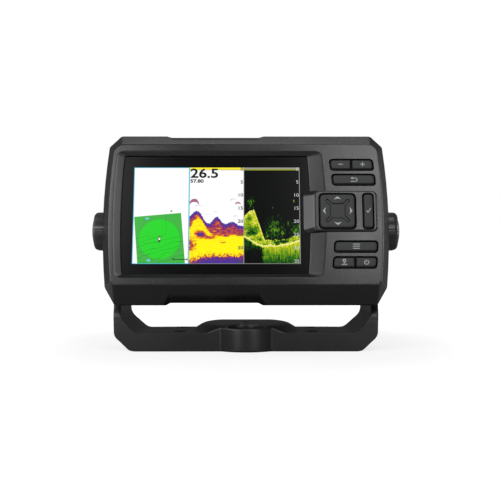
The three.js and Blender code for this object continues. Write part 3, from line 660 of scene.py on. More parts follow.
def window_ring(edge):
    """A section of the window: its left and right sides bow like the case."""
    right_bow = edge["bow"]
    left_bow = WINDOW_BOW * (edge["top"] - edge["bottom"]) ** 2 / (8 * SIDE_BOW)
    corners = rectangle(edge["left"] + left_bow, edge["right"] - right_bow, edge["bottom"], edge["top"])
    return eased(corners, edge["ease"], [right_bow, 0, left_bow, 0], steps=6, side_steps=8)


def window_cutter():
    glass, rim = window_ring(GLASS), window_ring(RIM)
    outer = offset(rim, 1.4)
    above = FACE_W + 0.02
    rings = [(glass, PLATE_W - 2), (glass, LIP_W), (rim, above), (outer, above), (outer, FACE_W + 4)]
    return loft("window", rings, [0, 0.5, 1.2, 0, 0], steps=5)


def row_opening(name, start=None, end=None, cuts=(KEY_CORNER, KEY_CORNER)):
    """The corners and eased cuts of a row's opening, or of a part of it that starts or ends upright.

    Its ends lean like the bowed sides of the case."""
    left, right, v = KEY_ROWS[name]
    half = KEY_HEIGHT / 2
    lean = (v - (FACE["bottom"] + FACE["top"]) / 2) / SIDE_BOW * KEY_HEIGHT * ROW_LEAN
    lean_left, lean_right = (0 if start else lean), (0 if end else lean)
    left, right = start or left, end or right
    corners = [(right + lean_right, v - half), (right - lean_right, v + half),
               (left - lean_left, v + half), (left + lean_left, v - half)]
    return corners, [cuts[1], cuts[1], cuts[0], cuts[0]]


def half_opening(row, side):
    """The opening of one of two keys that share a row. side is -1 for the left one."""
    split = SPLITS[row] - side * (KEY_PLAY - SPLIT_GAP / 2)
    if side < 0:
        return row_opening(row, end=split, cuts=(KEY_CORNER, SPLIT_CORNER))
    return row_opening(row, start=split, cuts=(SPLIT_CORNER, KEY_CORNER))


def pad_opening():
    u, v, half = PAD["u"], PAD["v"], PAD["half"]
    return rectangle(u - half, u + half, v - half, v + half), [PAD["corner"]] * 4


def select_opening():
    return rectangle(SELECT["left"], SELECT["right"], SELECT["bottom"], SELECT["top"]), [KEY_CORNER] * 4


def opening_ring(opening, grow):
    """The opening's eased outline, moved outwards."""
    corners, cuts = opening
    return eased(offset(corners, grow), [max(0.25, cut + grow * 0.8) for cut in cuts], steps=7)


def well_cutter(opening, surface):
    """Cuts a key's opening, and rounds its rim where it meets the surface."""
    above = surface + 0.02
    profile = [(0, PLATE_W - 3), (0, above), (1.0, above), (1.0, above + 4)]
    return loft("well", [(opening_ring(opening, grow), w) for grow, w in profile], [0, 0.5, 0, 0], steps=4)


def island_block():
    """The raised block round the direction pad and the select key."""
    left, ridge, right = ISLAND["left"], ISLAND["ridge"], ISLAND["right"]
    bottom, top, height = ISLAND["bottom"], ISLAND["top"], ISLAND["height"]
    low = rounded(left - 0.3, right + 0.5, bottom - 0.6, top + 0.4, 4.2, 8)
    high = rounded(ridge, right - 0.6, bottom + 0.9, top - 0.8, 3.2, 8)
    rings = [(low, LENS_W + 0.3), (high, height), (offset(high, -1), height)]
    return loft("island", rings, [0, 0.9, 0], steps=5)


def knob_reliefs():
    """The space round each knob, which reaches forward of the case's back rim."""
    return side_pins("relief", KNOB["radius"] + KNOB["relief"], KNOB["inner"] - 0.7, 100, 64)


def make_bezel():
    bezel = combine(bezel_blank(), "DIFFERENCE", bezel_hollow(), window_cutter())
    combine(bezel, "UNION", island_block())
    wells = [well_cutter(row_opening(name), FACE_W) for name in KEY_ROWS]
    wells += [well_cutter(opening, ISLAND["height"]) for opening in (pad_opening(), select_opening())]
    combine(bezel, "DIFFERENCE", *wells, *knob_reliefs())
    finish_piece(bezel, "display", "case_plastic", "front_bezel")


# ---- Keys ----
PEN = 0.42  # width of the symbols' lines


def stroke(points, width=PEN):
    """The outline of a line drawn with a pen of one width."""
    points = [Vector(point) for point in points]
    last = len(points) - 1
    sides = ([], [])
    for i, point in enumerate(points):
        ahead = (points[min(i + 1, last)] - points[min(i, last - 1)]).normalized()
        behind = (points[max(i, 1)] - points[max(i - 1, 0)]).normalized()
        middle = (ahead + behind).normalized()
        normal = Vector((middle.y, -middle.x)) * (width / 2 / max(0.4, middle.dot(ahead)))
        sides[0].append(tuple(point + normal))
        sides[1].append(tuple(point - normal))
    return sides[0] + sides[1][::-1]


BACK_BEND = arc(1.0, -0.35, 1.1, math.pi / 2, -math.pi / 2, 10)[1:]
POWER_RING = arc(0, -0.1, 1.35, math.radians(122), math.radians(418), 24)
SYMBOLS = {
    "zoom_out": [stroke([(-1.5, 0), (1.5, 0)])],
    "zoom_in": [stroke([(-1.5, 0), (1.5, 0)]), stroke([(0, -1.5), (0, 1.5)])],
    "back": [stroke([(-0.6, 0.75), (1.0, 0.75), *BACK_BEND, (-2.1, -1.45)]),
             [(-0.7, -0.15), (-0.7, 1.65), (-2.0, 0.75)]],
    "menu": [stroke([(-2.2, v), (2.2, v)]) for v in (-1.4, 0, 1.4)],
    "select": [stroke([(-1.35, 0), (-0.4, -1.15), (1.4, 1.5)], 0.46)],
    "mark": [stroke(arc(0, 1.0, 0.85, -math.pi / 2, 1.5 * math.pi, 20), 0.5), stroke([(0, 0.1), (0, -1.2)]),
             stroke([(-0.7, -1.0), (-1.5, -1.75), (1.5, -1.75), (0.7, -1.0)], 0.34)],
    "power": [stroke(POWER_RING), stroke([(0, 0.2), (0, 1.6)])],
}
ARROW = [(-2.4, -1.0), (0, -0.25), (2.4, -1.0), (0.3, 0.85), (-0.3, 0.85)]
ROW_KEYS = {"zoom": ("zoom_out", "zoom_in"), "back": ("back",), "menu": ("menu",), "power": ("mark", "power")}


def print_on(name, outlines, w, body):
    """Thin printed marks on the top of a key."""
    marks = [slab(name, outline, w + PRINT_DEPTH[0], w + PRINT_DEPTH[1]) for outline in outlines]
    finish_piece(gather(name, marks), body, "key_rubber", material=WHITE_PRINT)


def cap_solid(name, opening, top, crown):
    """A key's cap, with eased edges and a slightly crowned top."""
    profile = [(-KEY_PLAY, KEY_BACK_W), (-KEY_PLAY, top - 2.4), (-KEY_PLAY - 0.75, top),
               (-KEY_PLAY - 2.4, top + crown)]
    return loft(name, [(opening_ring(opening, grow), w) for grow, w in profile], [0, 0.3, 0.45, 0], steps=4)


def make_key(name, opening, top, middle):
    """A key's cap and its printed symbol."""
    body = f"{name}_button"
    finish_piece(cap_solid(f"{name}_key", opening, top, KEY_CROWN), body, "key_rubber", f"key_{name}")
    print_on(f"{name}_symbol", [moved(shape, *middle) for shape in SYMBOLS[name]], top + KEY_CROWN, body)


def make_keys():
    top = FACE_W + KEY_STAND
    for row, keys in ROW_KEYS.items():
        left, right, v = KEY_ROWS[row]
        if len(keys) == 1:
            make_key(row, row_opening(row), top, ((left + right) / 2, v))
            continue
        for key, side, end in zip(keys, (-1, 1), (left, right)):
            make_key(key, half_opening(row, side), top, ((SPLITS[row] + end) / 2, v))
    middle = ((SELECT["left"] + SELECT["right"]) / 2, (SELECT["bottom"] + SELECT["top"]) / 2)
    make_key("select", select_opening(), ISLAND["height"] + KEY_STAND, middle)


def cross_outline():
    """The sunken cross of the direction pad: a square with a round-ended arm out of each corner."""
    core, half, reach = CROSS["core"], CROSS["half"], CROSS["reach"]
    root = core - half * math.sqrt(2)
    tip = rotated(arc(reach - half, 0, half, -math.pi / 2, math.pi / 2, 6), 45)
    arm = [(core, root), *tip, (root, core)]
    points = [point for k in range(4) for point in rotated(arm, 90 * k)]
    return moved(points, PAD["u"], PAD["v"])


def make_pad():
    top = ISLAND["height"] + KEY_STAND
    pad = cap_solid("direction_key", pad_opening(), top, PAD["crown"])
    cross = cross_outline()
    groove = slab("groove", cross, top - CROSS["groove"], top + 3)
    combine(groove, "DIFFERENCE", slab("core", offset(cross, -CROSS["groove_width"]), top - 2, top + 4))
    combine(pad, "DIFFERENCE", slab("cross", cross, top - CROSS["sunken"], top + 3), groove)
    finish_piece(pad, "pad", "key_rubber", "direction_pad")
    arrows = [moved(rotated(moved(ARROW, 0, ARROW_AWAY), 90 * k), PAD["u"], PAD["v"]) for k in range(4)]
    print_on("direction_symbols", arrows, top + PAD["crown"], "pad")


# ---- Knobs ----
def knob_outline(radius, side, relief):
    """The grip's section: a pair of small ribs at each of six places, and a shallow scallop between them.

    A pair faces forward, a little above the axis. relief scales the ribs and the scallops."""
    sector = 2 * math.pi / KNOB["ribs"]
    reach, flat = sector * KNOB["radius"] / 2, KNOB["flat"]
    across = [-x for x in reversed(RIB_STEPS)] + [0, *RIB_STEPS]
    across += [flat + (reach - flat) * 2 * i / 12 for i in range(12)]
    points = []
    for k in range(KNOB["ribs"]):
        for x in across:
            near = min(abs(x), 2 * reach - x)
            rib = KNOB["rib_height"] * math.exp(-((near - KNOB["rib_place"]) / KNOB["rib_width"]) ** 2)
            hollow = max(0, (near - flat) / (reach - flat))
            scallop = KNOB["scallop"] * math.sin(math.pi / 2 * hollow) ** 2
            angle = KNOB["rib_angle"] + k * sector + x / KNOB["radius"]
            away = radius + relief * (rib - scallop)
            points.append((-side * away * math.cos(angle), away * math.sin(angle)))
    return points if side < 0 else points[::-1]


def knob_rings(side):
    """The grip's sections: a chamfered inner rim, a round outer edge and a domed face."""
    radius, inner, outer = KNOB["radius"], KNOB["inner"], KNOB["outer"]
    dome, edge = KNOB["dome"], KNOB["edge"]
    flat, start = radius - edge, outer - dome - edge
    rings = [(radius - 3, inner, 0), (radius - 1.2, inner, 0.5), (radius, inner + 1.2, 1), (radius, start, 1)]
    for i in range(1, 7):
        turn = math.pi / 2 * i / 6
        relief = math.cos(turn) ** 0.7 if i < 6 else 0
        rings.append((flat + edge * math.cos(turn), start + edge * math.sin(turn), relief))
    for i in range(1, 9):
        away = flat * (1 - i / 8.4)
        rings.append((away, outer - dome * (away / flat) ** 2, 0))
    return [(knob_outline(away, side, relief), depth) for away, depth, relief in rings]


def make_knob(name, side):
    """A domed knob with a hexagonal pocket for its stud's head."""
    place = along_x(side)
    knob = loft(f"{name}_knob_grip", knob_rings(side), place=place)
    bore = pin("bore", (0, 0), STUD_BORE, KNOB["inner"] - 1, KNOB["bore_end"], 48, place)
    pocket = slab("pocket", circle(0, 0, KNOB["pocket_radius"], 6), *KNOB["pocket"], place)
    combine(knob, "DIFFERENCE", bore, pocket)
    # The knob wears a lighter copy of the bracket plastic: its lighter colour is painted light.
    finish_piece(knob, f"{name}_knob", "bracket_plastic", f"knob_{name}", material=LOOKS["knob_painted_light_plastic"])


# ---- Rear cover ----
def tub_section(shape, cut_ease, grow=0):
    """A section of the rear cover's body: bowed sides and cut corners."""
    bottom, top, cut = shape["bottom"], shape["top"], shape["cut"]
    bow = ((top - bottom) / 2 - cut) ** 2 / (2 * SIDE_BOW)
    side = shape["half"] - bow
    right = [(side - cut, bottom), (side, bottom + cut), (side, top - cut), (side - cut, top)]
    bows = [0, bow, 0, 0, 0, bow, 0, 0]
    return eased(offset(mirrored(right), grow), [cut_ease] * 8, bows, steps=5, side_steps=8)


def cover_shell():
    """The cover's body with its flange and its bosses, hollowed out, with posts for the main board."""
    body = tub_section(BODY, 3)
    rings = [(body, SPLIT_W + 1), (body, BEND_W), (tub_section(BODY_BACK, 3), BACK_W),
             (tub_section(BODY_BACK, 3, -3.5), BACK_W)]
    shell = loft("rear_cover_shell", rings, [0, 4, 3, 0], steps=6)
    flange = slab("flange", plain_section(WIDE_W, WALL + 0.3), SPLIT_W, SPLIT_W + COVER_WALL)
    bosses = side_pins("boss", CASE_BOSS["radius"], CASE_BOSS["from"], CASE_BOSS["to"], 64)
    combine(shell, "UNION", flange, gather("bosses", bosses))
    inside = tub_section(BODY, 2, -COVER_WALL)
    hollow = [(inside, SPLIT_W + 4), (inside, BEND_W + 1),
              (tub_section(BODY_BACK, 2, -COVER_WALL), BACK_W + COVER_WALL)]
    combine(shell, "DIFFERENCE", loft("hollow", hollow))
    posts = [pin("post", at, POST["radius"], BACK_W + 2, BOARD_BACK_W - 0.3, 24) for at in BOARD_SCREWS]
    posts += side_pins("insert_boss", INSERT_BOSS["radius"], INSERT_BOSS["from"], INSERT_BOSS["to"], 48)
    return combine(shell, "UNION", gather("posts", posts))


def wall_grooves():
    """Cutters for the shallow grooves in the rear wall, a row of them at each side."""
    inner, outer, half = GROOVES["inner"], GROOVES["outer"], GROOVES["half"]
    bars = []
    for left, right in ((-outer, -inner), (inner, outer)):
        for i in range(GROOVES["count"]):
            v = GROOVES["v"] + GROOVES["step"] * i
            outline = rounded(left, right, v - half, v + half, GROOVES["corner"], 4)
            bars.append(slab("groove", outline, BACK_W - 1, BACK_W + GROOVES["depth"]))
    return bars


def cover_holes():
    """Cutters for the inserts, the screws, the sockets and the vent."""
    holes = side_pins("bore", INSERT_BOSS["bore"], INSERT_BOSS["bore_from"], 90, 48)
    holes += [rod("hole", at, SCREW_HOLE) for at in COVER_SCREWS]
    holes += [pin("hole", at, POST["bore"], BOARD_BACK_W - 7, BOARD_BACK_W + 5, 24) for at in BOARD_SCREWS]
    for u in SOCKET["u"].values():
        holes.append(pin("hole", (u, SOCKET["v"]), SOCKET["barrel"] + 0.3, *WALL_HOLE, 64))
    holes.append(pin("hole", VENT, VENT_HOLE, *WALL_HOLE))
    return holes


def make_rear_cover():
    cover = cover_shell()
    label = rounded(-LABEL["half"], LABEL["half"], LABEL["bottom"], LABEL["top"], LABEL["corner"])
    cutters = cover_holes() + wall_grooves()
    cutters.append(slab("label", label, BACK_W - 1, BACK_W + LABEL["depth"]))
    combine(cover, "DIFFERENCE", gather("cutters", cutters), *knob_reliefs())
    finish_piece(cover, "display", "case_plastic", "rear_cover")


# ---- Sockets, screws and washers ----
def make_barrel(name, at):
    """A socket's threaded barrel, with a flange inside the wall and a keyed bore."""
    barrel, bore, mouth = SOCKET["barrel"], SOCKET["bore"], SOCKET["mouth"]
    flange, start, end = SOCKET["flange"]
    profile = [(barrel - 0.9, mouth), (barrel - 0.35, mouth + 0.6)]
    for i in range(SOCKET["threads"]):
        crest = mouth + 1.0 + SOCKET["pitch"] * i
        profile += [(barrel, crest), (barrel - SOCKET["groove"], crest + SOCKET["pitch"] / 2)]
    profile += [(barrel, BACK_W - 1), (barrel, start), (flange, start), (flange, end), (barrel, end),
                (barrel, SOCKET["inner"])]
    socket = rod(f"{name}_socket_body", at, profile, 64)
    hollow = [(bore + 0.5, mouth - 1), (bore + 0.5, mouth + 0.1), (bore, mouth + 0.6),
              (bore, SOCKET["inner"] + 1)]
    u, v = at
    key = rectangle(u - SOCKET["key"], u + SOCKET["key"], v + bore - 1, v + bore + 1)
    keyway = slab("keyway", key, mouth - 1, SOCKET["key_end"])
    combine(socket, "DIFFERENCE", rod("bore", at, hollow, 64), keyway)
    finish_piece(socket, "display", "socket_plastic", f"{name}_socket")


def make_nut(name, at):
    """A hexagon nut with its outer corners turned off."""
    barrel, start, end = SOCKET["barrel"], NUT["from"], NUT["to"]
    across = barrel + NUT["across"]
    nut = slab(f"{name}_hexagon_nut", circle(*at, barrel + NUT["hexagon"], 6), start, end)
    turning = [(across, start - 0.1), (across + 1.6, start + 0.8), (across + 1.6, end + 1)]
    combine(nut, "INTERSECT", rod("turning", at, turning, 64))
    combine(nut, "DIFFERENCE", pin("bore", at, barrel + 0.3, start - 1, end + 1, 64))
    finish_piece(nut, "display", "socket_plastic", f"{name}_nut")


def make_contacts(name, at):
    """A socket's contacts, on the wafer that holds them."""
    bore, count = SOCKET["bore"], SOCKET["pins"][name]
    wafer = [(bore - 0.6, -25.5), (bore - 0.3, -25.2), (bore - 0.3, SOCKET["inner"] - 0.5)]
    first = math.pi / count
    spots = arc(*at, SOCKET["pin_circle"], first, first + 2 * math.pi, count)[:-1]
    contacts = [rod("wafer", at, wafer)] + [rod("contact", spot, CONTACT, 16) for spot in spots]
    finish_piece(gather(f"{name}_contacts", contacts), "display", "brass", f"{name}_pins")


def make_screw(name, at):
    """A slotted pan-head screw in the rear cover."""
    screw = rod(f"{name}_pan_head", at, [(radius, SCREW_W + depth) for radius, depth in SCREW], 32)
    u, v = at
    half, half_width = SCREW_SLOT["half"], SCREW_SLOT["half_width"]
    slot = rectangle(u - half, u + half, v - half_width, v + half_width)
    combine(screw, "DIFFERENCE", slab("slot", slot, SCREW_W - 1, SCREW_W + SCREW_SLOT["depth"]))
    finish_piece(screw, "display", "steel", name)


def make_washer(name, side):
    place = along_x(side)
    washer = rod(f"{name}_washer_disc", (0, 0), WASHER, 64, place)
    bore = pin("bore", (0, 0), STUD_BORE, WASHER[0][1] - 1, WASHER[-1][1] + 1, 32, place)
    combine(washer, "DIFFERENCE", bore)
    finish_piece(washer, f"{name}_washer", "steel", f"knob_washer_{name}")


def make_small_parts():
    for name, u in SOCKET["u"].items():
        for make in (make_barrel, make_nut, make_contacts):
            make(name, (u, SOCKET["v"]))
    for i, at in enumerate(COVER_SCREWS):
        make_screw(f"cover_screw_{i + 1}", at)
    finish_piece(rod("vent_membrane", VENT, VENT_PLUG), "display", "seal_rubber", "vent_plug")
    for name, side in (("left", -1), ("right", 1)):
        make_washer(name, side)


# ---- Bail bracket ----
def bail_front(taper_arm=0, taper_corner=0):
    """The front view at one depth; the arm and its corner get thicker by the taper towards the back."""
    tip, height = AXIS_Z + ARM["tip"], BASE["height"]
    inner = ARM["inner_foot"]
    right = [(BASE["half"], 0), (ARM["foot"], ARM["corner"]), (ARM["top"], tip),
             (ARM["inner_top"] - taper_arm, tip), (inner - taper_arm, height + ARM["inner_rise"]),
             (inner - ARM["inner_run"] - taper_corner, height)]
    cuts = [2.5, 2.5, 0.1, 0.1, 3.5, 3]
    return eased(mirrored(right), cuts + cuts[::-1], steps=5)


def bail_side():
    """The side view: a deep foot that sweeps in to a narrow arm with a round tip."""
    front, back = BASE["front"], BASE["back"]
    tip = arc(0, AXIS_Z, ARM["tip"], 0, math.pi, 32)
    behind = [((front, -1), 0), ((back, -1), 0), ((back, 24), 5), ((19, 31), 5), ((13.5, 52), 12)]
    ahead = [((-13.5, 52), 12), ((-17.6, 30), 5), ((front, 23), 4)]
    return eased_path(behind + [(point, 0) for point in tip] + ahead)


def bail_plan(inset=0):
    """The plan: a straight front with a round bulge, and a back that runs forward towards the arms."""
    radius, front, back = BULGE["radius"] - inset, BASE["front"] + inset, BASE["back"] - inset
    half = math.sqrt(radius ** 2 - (front - BULGE["y"]) ** 2)
    start = math.atan2(front - BULGE["y"], -half)
    bulge = arc(0, BULGE["y"], radius, start, -math.pi - start, 32)
    side = 95
    ahead = [((x, y), 0) for x, y in [(-side, front), *bulge, (side, front)]]
    behind = [((side, 16.5), 0), ((66, 21), 12), ((44, back), 10)]
    return eased_path(ahead + behind + [((-x, y), cut) for (x, y), cut in reversed(behind)])


def bail_boss():
    """The boss in the middle of the foot: a flat round top that runs out into the foot in a hollow curve."""
    foot, top, height, base = BOSS["foot"], BOSS["top"], BOSS["height"], BASE["height"]
    profile = [(foot + 2, base - 3), (foot + 2, base - 0.1), (foot, base + 0.1), (top + 2.6, height - 0.6),
               (top, height), (top - 2, height)]
    rings = [(circle(0, BOSS["y"], radius, 96), z) for radius, z in profile]
    return loft("boss", rings, [0, 0, 3.5, 2.5, 1.6, 0], steps=6, place=ON_FLOOR)


def bail_body():
    """The front view carried through the depth and cut to the plan and the side view, with its boss."""
    front, back = -BASE["front"], -BASE["back"]
    rings = [(bail_front(), front + 8), (bail_front(), front), (bail_front(*ARM["taper"]), back)]
    bail = loft("bail", rings, place=FACING)
    side = slab("side", bail_side(), -FAR, FAR, ACROSS)
    combine(side, "UNION", pin("bulge", (0, BULGE["y"]), BULGE["radius"], -1, 30, 128, ON_FLOOR))
    combine(bail, "INTERSECT", slab("plan", bail_plan(), -1, FAR, ON_FLOOR), side)
    boss = combine(bail_boss(), "INTERSECT", slab("plan", bail_plan(0.02), -1, FAR, ON_FLOOR))
    return combine(bail, "UNION", boss)


def mount_hole(x, y):
    """A through hole with a countersink at the top."""
    top, radius, sink = BASE["height"], MOUNT_HOLES["radius"], MOUNT_HOLES["sink"]
    profile = [(radius, -2), (radius, top - MOUNT_HOLES["sink_depth"]), (sink, top + 0.02), (sink, top + 3)]
    return rod("mount_hole", (x, y), profile, 40, ON_FLOOR)


def arm_slots():
    """The slots that the knobs' studs drop into, open at the arms' tips."""
    slot = PIVOT["slot"]
    round_end = arc(0, AXIS_Z, slot, math.pi, 2 * math.pi, 24)
    return slab("arm_slots", round_end + [(slot, AXIS_Z + 30), (-slot, AXIS_Z + 30)], -FAR, FAR, ACROSS)


def round_over(piece, voxel, smoothing, keep):
    """Rounds every edge and corner of a moulded solid a little, by rebuilding its skin."""
    remesh = piece.modifiers.new("skin", "REMESH")
    remesh.mode = "VOXEL"
    remesh.voxel_size = voxel * MM
    smooth = piece.modifiers.new("smooth", "SMOOTH")
    smooth.factor = 0.5
    smooth.iterations = smoothing
    fewer = piece.modifiers.new("fewer", "DECIMATE")
    fewer.ratio = keep
    mesh = applied_mesh(piece)
    piece.modifiers.clear()
    piece.data = mesh


def make_bracket():
    bail = bail_body()
    tip, inner = ARM["tip"], PIVOT["inner"]
    combine(bail, "UNION", *side_pins("pad", tip, inner, PIVOT["outer"], 64))
    combine(bail, "DIFFERENCE", *side_pins("clear", tip + 1, PIVOT["clear"], inner, 64))
    well = pin("well", (0, WELL["y"]), WELL["radius"], WELL["floor"], 40, 96, ON_FLOOR)
    combine(well, "INTERSECT", slab("plan", bail_plan(WELL["wall"]), 0, 50, ON_FLOOR))
    middle_hole = pin("middle_hole", (0, BOSS["y"]), BOSS["hole"], 6, 30, 48, ON_FLOOR)
    holes = [mount_hole(end * MOUNT_HOLES["x"], y) for end in (-1, 1) for y in MOUNT_HOLES["y"]]
    combine(bail, "DIFFERENCE", well, arm_slots(), middle_hole, *holes)
    bail.name = "bail_bracket_body"
    round_over(bail, 0.5, 6, 0.35)
    finish_piece(bail, "bracket", "bracket_plastic", "bail_bracket")


# ---- Screen ----
class Field:
    """A number that varies over the screen, worked out by shader nodes."""

    def __init__(self, tree, socket):
        self.tree = tree
        self.socket = socket

    def maths(self, operation, *others):
        values = [self.socket] + [other.socket if isinstance(other, Field) else other for other in others]
        inputs = dict(enumerate(values))
        return Field(self.tree, add_node(self.tree, "ShaderNodeMath", 0, inputs, operation=operation))

    def __add__(self, other):
        return self.maths("ADD", other)

    def __sub__(self, other):
        return self.maths("SUBTRACT", other)

    def __mul__(self, other):
        return self.maths("MULTIPLY", other)

    def __gt__(self, other):
        return self.maths("GREATER_THAN", other)

    def __lt__(self, other):
        return self.maths("LESS_THAN", other)

    def size(self):
        return self.maths("ABSOLUTE")

    def ramp(self, low, high):
        """0 below low and 1 above high, and smooth between."""
        inputs = {"Value": self.socket, "From Min": low, "From Max": high}
        smooth = {"interpolation_type": "SMOOTHSTEP"}
        return Field(self.tree, add_node(self.tree, "ShaderNodeMapRange", "Result", inputs, **smooth))

    def hump(self, middle, width, height):
        """A smooth rise, as in a bed of rock."""
        slope = (self - middle) * (1 / width)
        return (slope * slope * -1).maths("EXPONENT") * height


class Picture:
    """Colours painted over each other on the screen, as shader nodes in millimetres of u and v."""

    def __init__(self, material):
        self.tree = material.node_tree
        place = add_node(self.tree, "ShaderNodeTexCoord", "Object")
        up = (0, math.sin(TILT) / MM, math.cos(TILT) / MM)
        self.u = self.along(place, (1 / MM, 0, 0))
        self.v = self.along(place, up) - AXIS_Z * math.cos(TILT)
        self.colour = (0, 0, 0, 1)

    def along(self, place, direction):
        product = {"operation": "DOT_PRODUCT"}
        inputs = {0: place, 1: direction}
        return Field(self.tree, add_node(self.tree, "ShaderNodeVectorMath", "Value", inputs, **product))

    def noise(self, size_u, size_v, detail, seed):
        """Noise around zero, with features of a size in millimetres."""
        parts = {0: (self.u * (1 / size_u)).socket, 1: (self.v * (1 / size_v)).socket, 2: seed}
        place = add_node(self.tree, "ShaderNodeCombineXYZ", 0, parts)
        inputs = {"Vector": place, "Scale": 1.0, "Detail": detail}
        return Field(self.tree, add_node(self.tree, "ShaderNodeTexNoise", "Fac", inputs)) - 0.5

    def paint(self, colour, mask):
        """Paints a named colour, or a socket's colour, where the mask is 1."""
        if isinstance(colour, str):
            colour = screen_colour(COLOURS[colour])
        inputs = {0: mask.socket, 6: self.colour, 7: colour}
        self.colour = add_node(self.tree, "ShaderNodeMix", 2, inputs, data_type="RGBA")

    def inside(self, left, right, bottom, top):
        return (self.u > left) * (self.u < right) * (self.v > bottom) * (self.v < top)

    def box(self, colour, *edges):
        self.paint(colour, self.inside(*edges))

    def scale(self, source, stops):
        """The colour scale of a sonar picture: stops are (strength, colour)."""
        node = self.tree.nodes.new("ShaderNodeValToRGB")
        ramp = node.color_ramp
        while len(ramp.elements) < len(stops):
            ramp.elements.new(0.5)
        for element, (position, colour) in zip(ramp.elements, stops):
            element.position = position
            element.color = screen_colour(colour)
        fill(self.tree, node, {0: source.socket})
        return node.outputs["Color"]


def linear(value):
    """A screen colour from 0 to 255 as a linear one."""
    value /= 255
    return value / 12.92 if value < 0.04045 else ((value + 0.055) / 1.055) ** 2.4


def screen_colour(colour):
    return (*(linear(c) for c in colour), 1)


MAP_EDGE = -36.8  # between the chart and the sonar panel
SONAR_EDGE = -1.2  # between the sonar panel and the scan
BOAT = (-55.7, -12.2)
CHART_TURN = math.radians(5.1)
BED_LIFT = 0.8  # how far both sonar pictures are moved down
COLOURS = {  # from 0 to 255, as a screen shows them
    "white": (255, 255, 255), "frame": (88, 196, 222), "chart": (66, 182, 68), "range": (42, 216, 44),
    "contour": (36, 142, 40), "mark": (120, 200, 225), "buoy": (30, 170, 40), "outline": (50, 40, 60),
    "hull": (235, 235, 240), "bow": (190, 50, 40), "scale_bar": (24, 50, 24), "arch": (122, 96, 176),
    "arch_core": (214, 96, 46), "fish": (170, 168, 180), "strip": (255, 240, 50),
    "strip_edge": (150, 130, 90), "black": (2, 3, 2), "scan_strip": (150, 154, 50), "grey": (150, 152, 148),
}
SONAR_STOPS = [(0.0, (84, 66, 160)), (0.2, (78, 44, 142)), (0.34, (150, 48, 96)), (0.46, (206, 88, 44)),
               (0.58, (240, 150, 26)), (0.7, (255, 236, 18)), (1.0, (255, 248, 10))]
SCAN_STOPS = [(0.0, (2, 3, 2)), (0.14, (10, 44, 4)), (0.34, (38, 112, 10)), (0.54, (138, 172, 18)),
              (0.74, (212, 214, 34)), (1.0, (248, 240, 150))]
# Spots in the pictures: u, v, then their width, height and strength where they have one.
MARKS = ((-63.8, 1.6), (-62.4, -26.2))
SCALE_BAR = ((-46.6, -37.8, -25.8, -25.3), (-46.9, -46.4, -26.4, -24.7), (-38.0, -37.5, -26.4, -24.7))
DARK_SPOTS = ((-29.6, -7.9, 3.0, 1.9, 0.75), (-24.0, -10.2, 4.2, 1.2, 0.42), (-12.2, -9.4, 1.9, 0.5, 0.5),
              (-13.8, -13.6, 2.4, 0.6, 0.42), (-35.5, -15.0, 3.4, 4.5, 0.42))
ARCHES = ((-33.6, 14.8, 3.1), (-5.2, 13.2, 1.7))
FISH = ((-8.0, 15.6, 2.2), (-30.6, 11.4, 2.4), (-6.6, 4.2, 1.4), (-24.6, 5.4, 1.5), (-19.6, 7.4, 1.0))
WEEDS = ((18.4, -4.8, 4.6, 7.2), (13.6, -8.2, 1.6, 3.0), (23.6, -6.4, 1.6, 4.6), (31.8, -6.4, 3.4, 4.4),
         (34.4, -3.2, 2.0, 3.0), (3.0, 13.4, 2.0, 3.2), (27.4, -1.2, 1.0, 2.4), (31.0, 14.0, 0.6, 1.2),
         (17.4, 9.6, 0.8, 0.6))


def paint_chart(picture):
    """The left panel's chart: a charted square, the range circle round the boat, and contours."""
    panel = picture.inside(SCREEN["left"], MAP_EDGE, SCREEN["bottom"], SCREEN["top"])
    picture.paint("white", panel)
    u, v = picture.u - BOAT[0], picture.v - BOAT[1]
    along = u * math.cos(CHART_TURN) + v * math.sin(CHART_TURN)
    across = v * math.cos(CHART_TURN) - u * math.sin(CHART_TURN)
    square = (along.size() < 15.2) * (across < 16.3) * panel
    picture.paint("chart", square)
    picture.paint("range", ((u * u + v * v).maths("SQRT") < 13.2) * panel)
    contours = v * 0.3 - u * 0.09 + picture.noise(9, 6, 2, 3) * 1.9
    low = (v < 3) * ((contours.maths("FRACT") - 0.5).size() < 0.035)
    high = (u > 2) * (v > 3) * ((u - 4 + picture.noise(4, 9, 2, 5) * 5).size() < 0.09)
    picture.paint("contour", (low + high) * square)


def paint_marks(picture):
    """The left panel's marks, buoy, boat, scale bar and frame."""
    for at_u, at_v in MARKS:
        mark_u, mark_v = picture.u - at_u, (picture.v - at_v) * 1.7
        picture.paint("mark", (mark_u * mark_u + mark_v * mark_v) < 1.6)
    buoy = (picture.u + 48.3).size() * 2 + (picture.v - 6.2)
    picture.paint("buoy", (buoy < 1.4) * (picture.v > 6.0))
    u, v = picture.u - BOAT[0], picture.v - BOAT[1]
    hull = u.size() * 2.2 + v.size()
    picture.paint("outline", hull < 2.5)
    picture.paint("hull", (hull < 1.7) * (v > -0.6))
    picture.paint("bow", (hull < 1.9) * (v > 1.1))
    for box in SCALE_BAR:
        picture.box("scale_bar", *box)
    left, bottom, top = SCREEN["left"], SCREEN["bottom"], SCREEN["top"]
    picture.box("frame", left, left + 0.5, bottom, top)
    picture.box("frame", MAP_EDGE - 0.5, MAP_EDGE + 0.3, bottom, top)
    picture.box("frame", left, MAP_EDGE, top - 0.4, top)
    picture.box("frame", left, MAP_EDGE, bottom, bottom + 0.4)


